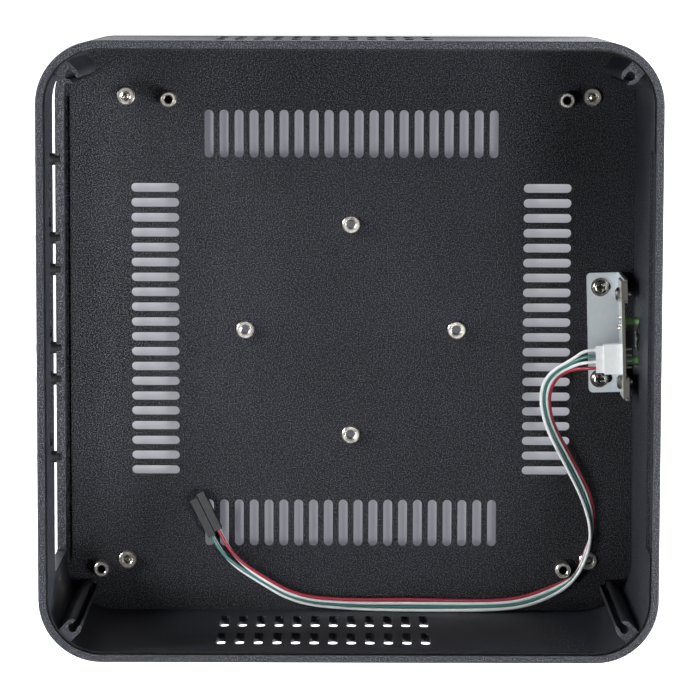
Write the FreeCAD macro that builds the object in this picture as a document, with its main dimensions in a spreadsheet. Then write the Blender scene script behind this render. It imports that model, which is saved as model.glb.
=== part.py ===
import FreeCAD, Part
import math
import os
import Sketcher

# Open mini-ITX computer case: an extruded aluminium frame with a screwed base plate.
# Millimetres. X runs across the case, -Y is the front with the power button,
# +Y is the rear with the connector opening, Z points up. The floor under the feet is Z = 0.

os.makedirs("parts", exist_ok=True)
doc = FreeCAD.newDocument("mini_itx_case")
vector = FreeCAD.Vector

# Driving sizes
SIZES = [
    ("board_size", 170.18, "the square board that the case is for"),
    ("room_left", 8.21, "board to the left wall"),
    ("room_right", 11.61, "board to the right wall"),
    ("room_front", 18.02, "board to the front wall"),
    ("room_rear", 1.8, "board to the rear wall"),
    ("ring_height", 80.0, "frame height"),
    ("corner_radius", 20.0, "outside corner of the frame"),
    ("wall", 3.0, "frame wall"),
    ("lip", 2.5, "rim left outside the cover seat"),
    ("seat_deep", 2.0, "cover seat below the rim, also the base plate seat"),
    ("edge_break", 0.4, "bevel on the outer edges of the frame"),
    ("channel_out", 9.25, "screw channel from the centre of the frame corner, both ways"),
    ("channel_radius", 2.7, "outside of a screw channel"),
    ("channel_bore", 1.45, "radius of the screw channel bore"),
    ("channel_slot", 2.1, "open gap of a screw channel"),
    ("vent_pitch", 6.0, "side vents"),
    ("vent_count", 12, "side vents in a row"),
    ("vent_wide", 3.0, "side vent width"),
    ("vent_tall", 19.5, "side vent height"),
    ("vent_low", 21.5, "middle of the lower vent row over the floor"),
    ("vent_rise", 30.5, "upper vent row over the lower one"),
    ("catch_wide", 127.0, "cover catch pocket in the front wall"),
    ("catch_tall", 16.0, "height of the catch pocket"),
    ("catch_deep", 1.3, "depth of the catch pocket"),
    ("io_wide", 158.75, "connector opening of the board standard"),
    ("io_tall", 44.45, "connector opening of the board standard"),
    ("io_shift", 6.8, "middle of the connector opening from the board middle"),
    ("io_sill", 4.1, "connector opening over the floor"),
    ("io_radius", 1.0, "corners of the connector opening"),
    ("base_thick", 2.0, "base plate"),
    ("step_wide", 1.65, "step along the rear edge of the base plate, in from the wall"),
    ("step_deep", 1.4, "step along the rear edge of the base plate"),
    ("step_long", 156.0, "step along the rear edge of the base plate"),
    ("base_gap", 0.25, "base plate to the rim"),
    ("slot_pitch", 5.0, "floor slots"),
    ("slot_count", 20, "floor slots in a group"),
    ("slot_wide", 3.0, "floor slot width"),
    ("slot_long", 16.0, "floor slot length"),
    ("slot_reach", 65.5, "middle of a slot group from the pattern middle"),
    ("pattern_centre", -0.5, "floor pattern from the case middle, along Y"),
    ("vesa_reach", 35.36, "open nuts from the pattern middle"),
    ("foot_side", 20.0, "feet from the side of the frame"),
    ("foot_front", 17.4, "front feet from the front of the frame"),
    ("foot_rear", 23.4, "rear feet from the rear of the frame"),
    ("foot_height", 6.0, "rubber foot"),
    ("foot_radius", 9.0, "rubber foot"),
    ("hole_side", 6.35, "board holes from its side edges"),
    ("hole_front", 5.08, "board holes from its front edge"),
    ("hole_rear", 10.16, "board holes from its rear edge"),
    ("hole_inset", 22.86, "the inset rear hole stands this much further in"),
    ("standoff_height", 6.35, "board standoff over the floor"),
    ("standoff_radius", 2.55, "board standoff"),
    ("tapped_radius", 1.25, "M3 tapped hole"),
    ("thread_radius", 1.2, "M3 screw in its thread"),
    ("nut_radius", 3.0, "pressed nut"),
    ("nut_high", 1.4, "pressed nut over the floor"),
    ("nut_groove", 1.95, "outer edge of the ring groove in the top of a pressed nut"),
    ("shank_radius", 2.0, "pressed end of nuts and standoffs"),
    ("fit_gap", 0.03, "press and thread gap in the model"),
    ("flat_head", 2.9, "radius of a countersunk head"),
    ("flat_deep", 1.4, "height of a countersunk head"),
    ("com_pitch", 35.05, "serial port places"),
    ("com_count", 3, "serial port places"),
    ("com_shift", 14.2, "middle serial port place from the board middle"),
    ("com_high", 58.5, "serial ports over the floor"),
    ("com_wide", 18.0, "serial port opening"),
    ("com_tall", 10.0, "serial port opening"),
    ("com_screws", 24.99, "serial port screw spacing"),
    ("cover_wide", 31.0, "blank cover"),
    ("cover_tall", 12.5, "blank cover"),
    ("cover_thick", 0.8, "blank cover"),
    ("jack_head", 2.5, "radius of a blank cover screw head"),
    ("jack_high", 0.8, "height of a blank cover screw head"),
    ("jack_radius", 1.2, "blank cover screw"),
    ("jack_nut", 1.9, "radius of a blank cover nut"),
    ("jack_nut_thick", 1.6, "blank cover nut"),
    ("bracket_x", -0.4, "middle of the switch bracket across"),
    ("bracket_room", 3.7, "front face of the switch bracket from the front wall"),
    ("bracket_turn", 1.7, "the bracket sits slightly turned in its slots"),
    ("bracket_wide", 40.2, "switch bracket"),
    ("bracket_deep", 11.6, "switch bracket foot"),
    ("bracket_tall", 28.0, "ears of the switch bracket"),
    ("ear_wide", 8.1, "ears of the switch bracket"),
    ("sheet", 1.0, "switch bracket sheet"),
    ("screw_spread", 30.7, "bracket screws"),
    ("screw_back", 7.65, "bracket screws behind its front face"),
    ("washer_radius", 3.05, "bracket screw washer"),
    ("washer_thick", 0.6, "bracket screw washer"),
    ("pan_radius", 2.45, "pan head"),
    ("pan_high", 1.9, "pan head"),
    ("pcb_wide", 38.6, "switch board"),
    ("pcb_tall", 15.0, "switch board"),
    ("pcb_thick", 1.0, "switch board"),
    ("pcb_spread", 29.0, "switch board screws"),
    ("small_head", 2.35, "switch board screw head"),
    ("small_high", 1.5, "switch board screw head"),
    ("small_radius", 1.0, "switch board screw"),
    ("key_high", 20.5, "button and lamps over the floor"),
    ("key_side", -0.2, "button from the bracket middle"),
    ("lamp_side", -0.95, "middle of the two lamps from the bracket middle"),
    ("lamp_spread", 6.4, "each lamp from the middle of the two"),
    ("switch_wide", 6.0, "push switch"),
    ("switch_deep", 3.4, "push switch body"),
    ("switch_face", 5.2, "metal plate of the push switch"),
    ("switch_plate", 0.3, "thickness of that metal plate"),
    ("stem_radius", 1.75, "push switch stem"),
    ("stem_out", 0.6, "stem in front of the metal plate"),
    ("lamp_radius", 1.5, "3 mm lamp"),
    ("lamp_rim", 1.9, "rim of the lamp"),
    ("lamp_long", 5.3, "lamp"),
    ("lamp_hole", 1.8, "lamp hole in the front wall"),
    ("button_radius", 3.0, "power button"),
    ("button_proud", 1.6, "power button in front of the frame"),
    ("button_rim", 4.0, "rim that keeps the button in"),
    ("button_rim_thick", 0.9, "rim that keeps the button in"),
    ("button_boss", 1.6, "radius of the boss that meets the stem"),
    ("button_fit", 0.1, "button in its hole, all round"),
    ("rim_pocket", 1.2, "depth of the recess for the button rim"),
    ("header_side", -6.3, "header from the bracket middle"),
    ("header_up", 24.0, "header over the floor"),
    ("header_wide", 9.9, "4 pin header, 2 mm pitch"),
    ("header_tall", 4.5, "4 pin header"),
    ("header_deep", 6.0, "4 pin header"),
    ("header_wall", 0.45, "header walls"),
    ("pin_pitch", 2.0, "header pins"),
    ("pin_wide", 0.5, "header pins"),
    ("pin_out", 2.2, "pins in front of the switch board"),
    ("pin_in", 4.0, "pins behind the switch board"),
    ("leg_wide", 0.45, "legs of lamps and switch"),
    ("leg_out", 1.2, "legs behind the switch board"),
    ("lamp_legs", 2.54, "spacing of the legs of a lamp"),
    ("switch_legs", 6.5, "spacing of the switch legs, across"),
    ("leg_drop", 2.25, "switch legs below the middle of the switch"),
    ("solder_radius", 0.85, "foot of a solder joint"),
    ("solder_high", 0.7, "solder joint"),
    ("pin_solder", 0.47, "foot of the solder round a header pin"),
    ("plug_gap", 0.05, "plug in the header"),
    ("plug_out", 2.5, "plug behind the header"),
    ("wire_diameter", 1.1, "one wire"),
    ("lead_long", 14.0, "2 way lead housing"),
    ("lead_wide", 2.54, "2 way lead housing"),
    ("lead_tall", 5.08, "2 way lead housing"),
    ("lead_turn", 26.0, "lead housings from the X axis"),
    ("lead_a_x", -67.2, "wire end of the first lead housing"),
    ("lead_a_y", 43.9, "wire end of the first lead housing"),
    ("lead_b_x", -69.4, "wire end of the second lead housing"),
    ("lead_b_y", 46.0, "wire end of the second lead housing"),
]

sheet = doc.addObject("Spreadsheet::Sheet", "sizes")
for row, (alias, amount, note) in enumerate(SIZES, start=1):
    sheet.set("A%d" % row, alias)
    sheet.set("B%d" % row, str(amount))
    sheet.setAlias("B%d" % row, alias)
    sheet.set("C%d" % row, note)
doc.recompute()

# Levels, faces and places that several pieces share
CASE_WIDTH = "(sizes.board_size + sizes.room_left + sizes.room_right + 2 * sizes.wall)"
CASE_DEPTH = "(sizes.board_size + sizes.room_front + sizes.room_rear + 2 * sizes.wall)"
BOARD_X = "((sizes.room_left - sizes.room_right) / 2)"
BOARD_Y = "((sizes.room_front - sizes.room_rear) / 2)"
RING_BASE = "sizes.foot_height"
FLOOR = "(sizes.foot_height + sizes.base_thick)"
RING_TOP = "(sizes.foot_height + sizes.ring_height)"
SEAT = "(sizes.foot_height + sizes.ring_height - sizes.seat_deep)"
OUTSIDE_Y = "(%s / 2)" % CASE_DEPTH
INSIDE_Y = "(%s - sizes.wall)" % OUTSIDE_Y
LIP_RADIUS = "(sizes.corner_radius - sizes.lip)"
CHANNEL_X = "(%s / 2 - sizes.corner_radius + sizes.channel_out)" % CASE_WIDTH
CHANNEL_Y = "(%s / 2 - sizes.corner_radius + sizes.channel_out)" % CASE_DEPTH
WEB_LENGTH = "(sizes.corner_radius - sizes.wall / 2 - sizes.channel_out * sqrt(2))"
KEY_LEVEL = "(%s + sizes.key_high)" % FLOOR
COM_LEVEL = "(%s + sizes.com_high)" % FLOOR
STEM_TIP = "(sizes.sheet - sizes.switch_deep - sizes.switch_plate - sizes.stem_out)"
COSINE = "cos(sizes.bracket_turn * 1 deg)"
SINE = "sin(sizes.bracket_turn * 1 deg)"
BRACKET_FRONT = "(sizes.bracket_room - %s)" % INSIDE_Y
BUTTON_X = "(sizes.bracket_x + sizes.key_side * %s - %s * %s)" % (COSINE, STEM_TIP, SINE)


def number(expression):
    """Value of a size expression."""
    return float(sheet.evalExpression(str(expression)))


def half(expression):
    return "(%s) / 2" % expression


def minus(expression):
    return "-(%s)" % expression


# Sketch and feature helpers

def new_body(label):
    body = doc.addObject("PartDesign::Body", label)
    body.Label = label
    return body


def new_sketch(body, role, x="0", y="0", level="0", turn=0.0):
    """Sketch on one of the body's own origin planes, moved in that plane's frame."""
    plane = [item for item in body.Origin.OriginFeatures if item.Role == role][0]
    sketch = body.newObject("Sketcher::SketchObject", body.Label + "_sketch")
    sketch.AttachmentSupport = (plane, [""])
    sketch.MapMode = "FlatFace"
    if turn:
        sketch.AttachmentOffset = FreeCAD.Placement(vector(), FreeCAD.Rotation(vector(0, 0, 1), turn))
    sketch.setExpression("AttachmentOffset.Base.x", x)
    sketch.setExpression("AttachmentOffset.Base.y", y)
    sketch.setExpression("AttachmentOffset.Base.z", level)
    return sketch


def bind(sketch, kind, parts, expression):
    """Dimension bound to a size expression."""
    index = sketch.addConstraint(Sketcher.Constraint(kind, *parts, number(expression)))
    name = "size%d" % index
    sketch.renameConstraint(index, name)
    sketch.setExpression("Constraints." + name, str(expression))


def draw_polygon(sketch, corners):
    """Closed outline of straight lines through (x, y) corners given as size expressions."""
    points = [vector(number(x), number(y), 0) for x, y in corners]
    first = sketch.GeometryCount
    count = len(points)
    for step in range(count):
        sketch.addGeometry(Part.LineSegment(points[step], points[(step + 1) % count]), False)
    for step in range(count):
        following = first + (step + 1) % count
        sketch.addConstraint(Sketcher.Constraint("Coincident", first + step, 2, following, 1))
    for step, (x, y) in enumerate(corners):
        bind(sketch, "DistanceX", (-1, 1, first + step, 1), x)
        bind(sketch, "DistanceY", (-1, 1, first + step, 1), y)


def draw_circle(sketch, x, y, radius):
    centre = vector(number(x), number(y), 0)
    index = sketch.addGeometry(Part.Circle(centre, vector(0, 0, 1), number(radius)), False)
    bind(sketch, "DistanceX", (-1, 1, index, 3), x)
    bind(sketch, "DistanceY", (-1, 1, index, 3), y)
    bind(sketch, "Radius", (index,), radius)


def draw_rectangle(sketch, x, y, wide, tall):
    left = "(%s) - (%s) / 2" % (x, wide)
    right = "(%s) + (%s) / 2" % (x, wide)
    low = "(%s) - (%s) / 2" % (y, tall)
    high = "(%s) + (%s) / 2" % (y, tall)
    draw_polygon(sketch, [(left, low), (right, low), (right, high), (left, high)])


def draw_rounded(sketch, x, y, wide, tall, radius):
    """Rectangle with round corners: four lines and four tangent arcs, held by the arc centres."""
    cx, cy, r = number(x), number(y), number(radius)
    ax, ay = number(wide) / 2 - r, number(tall) / 2 - r
    first = sketch.GeometryCount
    ends = [(ax, -ay - r, ax, ay), (ax + r, -ay, ax, ay), (ax, ay + r, -ax, ay), (-ax - r, ay, -ax, -ay)]
    lines = [((-ax, -ay - r), (ax, -ay - r)), ((ax + r, -ay), (ax + r, ay)),
             ((ax, ay + r), (-ax, ay + r)), ((-ax - r, ay), (-ax - r, -ay))]
    arcs = [((ax, -ay), 270), ((ax, ay), 0), ((-ax, ay), 90), ((-ax, -ay), 180)]
    for (start, end), (centre, angle) in zip(lines, arcs):
        sketch.addGeometry(Part.LineSegment(vector(cx + start[0], cy + start[1], 0),
                                            vector(cx + end[0], cy + end[1], 0)), False)
        circle = Part.Circle(vector(cx + centre[0], cy + centre[1], 0), vector(0, 0, 1), r)
        sketch.addGeometry(Part.ArcOfCircle(circle, math.radians(angle), math.radians(angle + 90)), False)
    for step in range(4):
        line, arc = first + 2 * step, first + 2 * step + 1
        following = first + (2 * step + 2) % 8
        sketch.addConstraint(Sketcher.Constraint("Tangent", line, 2, arc, 1))
        sketch.addConstraint(Sketcher.Constraint("Tangent", arc, 2, following, 1))
    for step in (1, 2, 3):
        sketch.addConstraint(Sketcher.Constraint("Equal", first + 1, first + 2 * step + 1))
    sketch.addConstraint(Sketcher.Constraint("Horizontal", first))
    bind(sketch, "Radius", (first + 1,), radius)
    bind(sketch, "DistanceX", (-1, 1, first + 1, 3), "(%s) + (%s) / 2 - (%s)" % (x, wide, radius))
    bind(sketch, "DistanceY", (-1, 1, first + 1, 3), "(%s) - (%s) / 2 + (%s)" % (y, tall, radius))
    bind(sketch, "DistanceX", (-1, 1, first + 5, 3), "(%s) - (%s) / 2 + (%s)" % (x, wide, radius))
    bind(sketch, "DistanceY", (-1, 1, first + 5, 3), "(%s) + (%s) / 2 - (%s)" % (y, tall, radius))


def draw_slot(sketch, x, y, wide, long, upright):
    """Slot with round ends, along Y of the sketch when upright, else along X."""
    cx, cy, r = number(x), number(y), number(wide) / 2
    reach = number(long) / 2 - r
    first = sketch.GeometryCount
    axis = vector(0, 1, 0) if upright else vector(1, 0, 0)
    side = vector(-axis.y, axis.x, 0)
    centre = vector(cx, cy, 0)
    turn = 90 if upright else 0
    far = Part.Circle(centre + axis * reach, vector(0, 0, 1), r)
    near = Part.Circle(centre - axis * reach, vector(0, 0, 1), r)
    sketch.addGeometry(Part.ArcOfCircle(far, math.radians(turn - 90), math.radians(turn + 90)), False)
    sketch.addGeometry(Part.LineSegment(centre + axis * reach + side * r, centre - axis * reach + side * r), False)
    sketch.addGeometry(Part.ArcOfCircle(near, math.radians(turn + 90), math.radians(turn + 270)), False)
    sketch.addGeometry(Part.LineSegment(centre - axis * reach - side * r, centre + axis * reach - side * r), False)
    for step in range(4):
        sketch.addConstraint(Sketcher.Constraint("Tangent", first + step, 2, first + (step + 1) % 4, 1))
    sketch.addConstraint(Sketcher.Constraint("Equal", first, first + 2))
    bind(sketch, "Radius", (first,), half(wide))
    shift = "((%s) - (%s)) / 2" % (long, wide)
    if upright:
        bind(sketch, "DistanceX", (-1, 1, first, 3), x)
        bind(sketch, "DistanceY", (-1, 1, first, 3), "(%s) + %s" % (y, shift))
        bind(sketch, "DistanceX", (-1, 1, first + 2, 3), x)
        bind(sketch, "DistanceY", (-1, 1, first + 2, 3), "(%s) - %s" % (y, shift))
    else:
        bind(sketch, "DistanceX", (-1, 1, first, 3), "(%s) + %s" % (x, shift))
        bind(sketch, "DistanceY", (-1, 1, first, 3), y)
        bind(sketch, "DistanceX", (-1, 1, first + 2, 3), "(%s) - %s" % (x, shift))
        bind(sketch, "DistanceY", (-1, 1, first + 2, 3), y)


def pad(sketch, length, backwards=False):
    body = sketch.getParentGeoFeatureGroup()
    feature = body.newObject("PartDesign::Pad", body.Label + "_pad")
    feature.Profile = sketch
    feature.setExpression("Length", length)
    feature.Reversed = backwards
    doc.recompute()
    return feature


def pocket(sketch, length=None, backwards=False, both=False):
    """Cut along the sketch's normal, through everything when no length is given."""
    body = sketch.getParentGeoFeatureGroup()
    before = body.Shape.Volume
    feature = body.newObject("PartDesign::Pocket", body.Label + "_pocket")
    feature.Profile = sketch
    if both:
        feature.SideType = "Symmetric"
    if length is None:
        feature.Type = "ThroughAll"
    else:
        feature.setExpression("Length", length)
    feature.Reversed = backwards
    doc.recompute()
    if not body.Shape.Volume < before - 1e-6:
        raise RuntimeError("a pocket cut nothing in " + body.Label)
    return feature


def repeat(feature, sketch, axis, count, pitch):
    body = feature.getParentGeoFeatureGroup()
    before = body.Shape.Volume
    pattern = body.newObject("PartDesign::LinearPattern", body.Label + "_pattern")
    pattern.Originals = [feature]
    pattern.Direction = (sketch, [axis])
    pattern.setExpression("Length", "(%s - 1) * %s" % (count, pitch))
    pattern.setExpression("Occurrences", count)
    body.Tip = pattern
    doc.recompute()
    if not body.Shape.Volume < before - 1e-6:
        raise RuntimeError("a pattern added nothing in " + body.Label)
    return pattern


def turned(label, outline):
    """Body of revolution about Z from (radius, height) corners."""
    body = new_body(label)
    sketch = new_sketch(body, "XZ_Plane")
    draw_polygon(sketch, outline)
    doc.recompute()
    feature = body.newObject("PartDesign::Revolution", label + "_revolution")
    feature.Profile = sketch
    feature.ReferenceAxis = (sketch, ["V_Axis"])
    feature.Angle = 360
    doc.recompute()
    return body


def cut_cross(body, level, reach, arm, deep):
    """Cross recess in a screw head, from the level down."""
    corners = [(arm, arm), (reach, arm), (reach, -arm), (arm, -arm), (arm, -reach), (-arm, -reach),
               (-arm, -arm), (-reach, -arm), (-reach, arm), (-arm, arm), (-arm, reach), (arm, reach)]
    sketch = new_sketch(body, "XY_Plane", level=level)
    draw_polygon(sketch, [(str(x), str(y)) for x, y in corners])
    doc.recompute()
    pocket(sketch, str(deep))


def group(label, *repeated):
    """One node that holds a separate solid for each place of each repeated piece, given as piece, places, ..."""
    solids = []
    for source, placements in zip(repeated[::2], repeated[1::2]):
        for placement in placements:
            shape = source.Shape.copy()
            shape.Placement = placement.multiply(shape.Placement)
            solids.append(shape)
    feature = doc.addObject("Part::Feature", label)
    feature.Label = label
    feature.Shape = Part.makeCompound(solids)
    return feature


def at(x, y, z, rotation=None):
    return FreeCAD.Placement(vector(x, y, z), rotation or FreeCAD.Rotation())


POINT_TO_REAR = FreeCAD.Rotation(vector(1, 0, 0), -90)
POINT_TO_FRONT = FreeCAD.Rotation(vector(1, 0, 0), 90)
NODES = []


def keep(feature):
    NODES.append(feature)
    return feature


# Frame ring
ring = new_body("frame_ring")
outline = new_sketch(ring, "XY_Plane", level=RING_BASE)
draw_rounded(outline, "0", "0", CASE_WIDTH, CASE_DEPTH, "sizes.corner_radius")
doc.recompute()
pad(outline, "sizes.ring_height")


def edges_where(shape, test):
    """Names of the edges whose bounding box passes a test."""
    return ["Edge%d" % index for index, edge in enumerate(shape.Edges, start=1) if test(edge.BoundBox)]


def dress(body, kind, field, edges, size):
    """Fillet or chamfer on the named edges of the body as it stands."""
    base = body.Tip
    feature = body.newObject(kind, body.Label + "_edge")
    feature.Base = (base, edges)
    feature.setExpression(field, size)
    doc.recompute()
    if "Invalid" in feature.State:
        raise RuntimeError("an edge of %s was not worked" % body.Label)


outer = edges_where(ring.Shape, lambda box: abs(box.ZMax - box.ZMin) < 1e-4)
dress(ring, "PartDesign::Chamfer", "Size", outer, "sizes.edge_break")

hollow = new_sketch(ring, "XY_Plane", level=RING_TOP)
draw_rounded(hollow, "0", "0", CASE_WIDTH + " - 2 * sizes.wall", CASE_DEPTH + " - 2 * sizes.wall",
             "sizes.corner_radius - sizes.wall")
doc.recompute()
pocket(hollow)

CORNERS = [(side, end) for side in (-1, 1) for end in (-1, 1)]
CHANNEL_PLACES = [("%d * %s" % (side, CHANNEL_X), "%d * %s" % (end, CHANNEL_Y)) for side, end in CORNERS]
bosses = new_sketch(ring, "XY_Plane", level=RING_BASE)
for x, y in CHANNEL_PLACES:
    draw_circle(bosses, x, y, "sizes.channel_radius")
doc.recompute()
pad(bosses, "sizes.ring_height")


def draw_diagonals(sketch, start, end, wide):
    """Strip at each corner, on the diagonal from the channel to the corner, from start to end along it."""
    for (side, front), (x, y) in zip(CORNERS, CHANNEL_PLACES):
        corners = []
        for along, across in ((start, -1), (end, -1), (end, 1), (start, 1)):
            corners.append(("%s + %d * (%s + %d * %s / 2) / sqrt(2)" % (x, side, along, across, wide),
                            "%s + %d * (%s - %d * %s / 2) / sqrt(2)" % (y, front, along, across, wide)))
        draw_polygon(sketch, corners)


webs = new_sketch(ring, "XY_Plane", level=RING_BASE)
draw_diagonals(webs, "0", WEB_LENGTH, "(2 * sizes.channel_radius)")
doc.recompute()
pad(webs, "sizes.ring_height")

bores = new_sketch(ring, "XY_Plane", level=RING_TOP)
for x, y in CHANNEL_PLACES:
    draw_circle(bores, x, y, "sizes.channel_bore")
doc.recompute()
pocket(bores)

gaps = new_sketch(ring, "XY_Plane", level=RING_TOP)
draw_diagonals(gaps, "(-2 * sizes.channel_radius)", "0", "sizes.channel_slot")
doc.recompute()
pocket(gaps)

for level, upwards in ((RING_TOP, False), (RING_BASE, True)):
    seat = new_sketch(ring, "XY_Plane", level=level)
    draw_rounded(seat, "0", "0", CASE_WIDTH + " - 2 * sizes.lip", CASE_DEPTH + " - 2 * sizes.lip", LIP_RADIUS)
    doc.recompute()
    pocket(seat, "sizes.seat_deep", backwards=upwards)

# Vents in both side walls
for row in ("sizes.vent_low", "sizes.vent_low + sizes.vent_rise"):
    vent = new_sketch(ring, "YZ_Plane")
    start = "%s - (sizes.vent_count - 1) * sizes.vent_pitch / 2" % BOARD_Y
    draw_slot(vent, start, "%s + %s" % (FLOOR, row), "sizes.vent_wide", "sizes.vent_tall", True)
    doc.recompute()
    cut = pocket(vent, both=True)
    repeat(cut, vent, "H_Axis", "sizes.vent_count", "sizes.vent_pitch")

# Rear wall: connector opening and serial port places
opening = new_sketch(ring, "XZ_Plane")
draw_rounded(opening, BOARD_X + " + sizes.io_shift", "%s + sizes.io_sill + sizes.io_tall / 2" % FLOOR,
             "sizes.io_wide", "sizes.io_tall", "sizes.io_radius")
doc.recompute()
pocket(opening, OUTSIDE_Y + " + 1")

COM_FIRST = "(%s + sizes.com_shift + (sizes.com_count - 1) * sizes.com_pitch / 2)" % BOARD_X
port = new_sketch(ring, "XZ_Plane")
draw_rounded(port, COM_FIRST, COM_LEVEL, "sizes.com_wide", "sizes.com_tall", "2.5")
for side in ("-", "+"):
    draw_circle(port, "%s %s sizes.com_screws / 2" % (COM_FIRST, side), COM_LEVEL,
                "sizes.jack_radius + sizes.fit_gap")
doc.recompute()
port_cut = pocket(port, OUTSIDE_Y + " + 1")
port_row = ring.newObject("PartDesign::LinearPattern", "frame_ring_ports")
port_row.Originals = [port_cut]
port_row.Direction = (port, ["H_Axis"])
port_row.Reversed = True
port_row.setExpression("Length", "(sizes.com_count - 1) * sizes.com_pitch")
port_row.setExpression("Occurrences", "sizes.com_count")
ring.Tip = port_row
doc.recompute()

# Front wall: button hole with its inner recess, lamp holes and the cover catch pocket
front_holes = new_sketch(ring, "XZ_Plane")
draw_circle(front_holes, BUTTON_X, KEY_LEVEL, "sizes.button_radius + sizes.button_fit")
for side in ("-", "+"):
    draw_circle(front_holes, "%s + sizes.lamp_side - sizes.key_side %s sizes.lamp_spread" % (BUTTON_X, side),
                KEY_LEVEL, "sizes.lamp_hole")
doc.recompute()
pocket(front_holes, OUTSIDE_Y + " + 1", backwards=True)

rim_recess = new_sketch(ring, "XZ_Plane")
draw_circle(rim_recess, BUTTON_X, KEY_LEVEL, "sizes.button_rim + 0.3")
doc.recompute()
pocket(rim_recess, "%s + sizes.rim_pocket" % INSIDE_Y, backwards=True)

catch = new_sketch(ring, "XZ_Plane")
draw_rectangle(catch, "0", "%s - sizes.catch_tall / 2" % SEAT, "sizes.catch_wide", "sizes.catch_tall")
doc.recompute()
pocket(catch, "%s + sizes.catch_deep" % INSIDE_Y, backwards=True)
keep(ring)

# Base plate
plate = new_body("base_plate")
plate_outline = new_sketch(plate, "XY_Plane", level=RING_BASE)
PLATE_MARGIN = " - 2 * (sizes.lip + sizes.base_gap)"
draw_rounded(plate_outline, "0", "0", CASE_WIDTH + PLATE_MARGIN, CASE_DEPTH + PLATE_MARGIN,
             "%s - sizes.base_gap" % LIP_RADIUS)
doc.recompute()
pad(plate_outline, "sizes.base_thick")

rear_step = new_sketch(plate, "XY_Plane", level=FLOOR)
draw_rectangle(rear_step, "0", "%s - sizes.step_wide / 2 + 0.5" % INSIDE_Y, "sizes.step_long", "sizes.step_wide + 1")
doc.recompute()
pocket(rear_step, "sizes.step_deep")

FIRST_ACROSS = "-(sizes.slot_count - 1) * sizes.slot_pitch / 2"
FIRST_ALONG = "sizes.pattern_centre - (sizes.slot_count - 1) * sizes.slot_pitch / 2"
side_slots = new_sketch(plate, "XY_Plane", level=FLOOR)
end_slots = new_sketch(plate, "XY_Plane", level=FLOOR)
for sign in ("-", "+"):
    draw_slot(side_slots, "0 %s sizes.slot_reach" % sign, FIRST_ALONG, "sizes.slot_wide", "sizes.slot_long", False)
    draw_slot(end_slots, FIRST_ACROSS, "sizes.pattern_centre %s sizes.slot_reach" % sign,
              "sizes.slot_wide", "sizes.slot_long", True)
doc.recompute()
repeat(pocket(side_slots), side_slots, "V_Axis", "sizes.slot_count", "sizes.slot_pitch")
repeat(pocket(end_slots), end_slots, "H_Axis", "sizes.slot_count", "sizes.slot_pitch")

SIDES = ("-", "+")
FOOT_X = "(%s / 2 - sizes.foot_side)" % CASE_WIDTH
FOOT_PLACES = [("%s%s" % (side, FOOT_X), end) for side in ("-", "")
               for end in ("sizes.foot_front - " + OUTSIDE_Y, OUTSIDE_Y + " - sizes.foot_rear")]
VESA_PLACES = [("0 - sizes.vesa_reach", "sizes.pattern_centre"), ("0 + sizes.vesa_reach", "sizes.pattern_centre"),
               ("0", "sizes.pattern_centre - sizes.vesa_reach"), ("0", "sizes.pattern_centre + sizes.vesa_reach")]
HOLE_REACH = "(sizes.board_size / 2 - sizes.hole_side)"
HOLE_FRONT = "%s - sizes.board_size / 2 + sizes.hole_front" % BOARD_Y
HOLE_REAR = "%s + sizes.board_size / 2 - sizes.hole_rear" % BOARD_Y
BOARD_PLACES = [("%s - %s" % (BOARD_X, HOLE_REACH), HOLE_FRONT), ("%s + %s" % (BOARD_X, HOLE_REACH), HOLE_FRONT),
                ("%s - %s" % (BOARD_X, HOLE_REACH), HOLE_REAR),
                ("%s + %s" % (BOARD_X, HOLE_REACH), HOLE_REAR + " - sizes.hole_inset")]
SCREW_SHIFT = "(sizes.bracket_x - sizes.screw_back * %s)" % SINE
BRACKET_PLACES = [("%s %s sizes.screw_spread / 2" % (SCREW_SHIFT, side),
                   "%s + sizes.screw_back * %s" % (BRACKET_FRONT, COSINE)) for side in SIDES]

pressed = new_sketch(plate, "XY_Plane", level=FLOOR)
for x, y in FOOT_PLACES + VESA_PLACES + BOARD_PLACES:
    draw_circle(pressed, x, y, "sizes.shank_radius + sizes.fit_gap")
for x, y in BRACKET_PLACES:
    draw_circle(pressed, x, y, "sizes.tapped_radius")
for x, y in CHANNEL_PLACES:
    draw_circle(pressed, x, y, "sizes.thread_radius + 0.4")
doc.recompute()
pocket(pressed)

sinks = new_sketch(plate, "XY_Plane", level=RING_BASE)
for x, y in CHANNEL_PLACES:
    draw_circle(sinks, x, y, "sizes.flat_head + 0.1")
doc.recompute()
sink_cut = pocket(sinks, "sizes.flat_deep", backwards=True)
sink_cut.TaperAngle = -45
doc.recompute()
keep(plate)


def places(pairs, level):
    return [at(number(x), number(y), number(level)) for x, y in pairs]


# Pressed nuts and standoffs
NUT_FLOOR = "sizes.nut_high - 0.35"
NUT_OUTLINE = [("sizes.tapped_radius", "-sizes.base_thick"), ("sizes.shank_radius", "-sizes.base_thick"),
               ("sizes.shank_radius", "0"), ("sizes.nut_radius", "0"),
               ("sizes.nut_radius", "sizes.nut_high - 0.3"), ("sizes.nut_radius - 0.3", "sizes.nut_high"),
               ("sizes.nut_groove", "sizes.nut_high"), ("sizes.nut_groove - 0.1", NUT_FLOOR),
               ("sizes.nut_groove - 0.25", NUT_FLOOR), ("sizes.nut_groove - 0.3", "sizes.nut_high - 0.1"),
               ("sizes.tapped_radius", NUT_FLOOR)]
one_nut = turned("one_nut", NUT_OUTLINE)
keep(group("foot_nuts", one_nut, places(FOOT_PLACES, FLOOR)))
keep(group("centre_nuts", one_nut, places(VESA_PLACES, FLOOR)))

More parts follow.
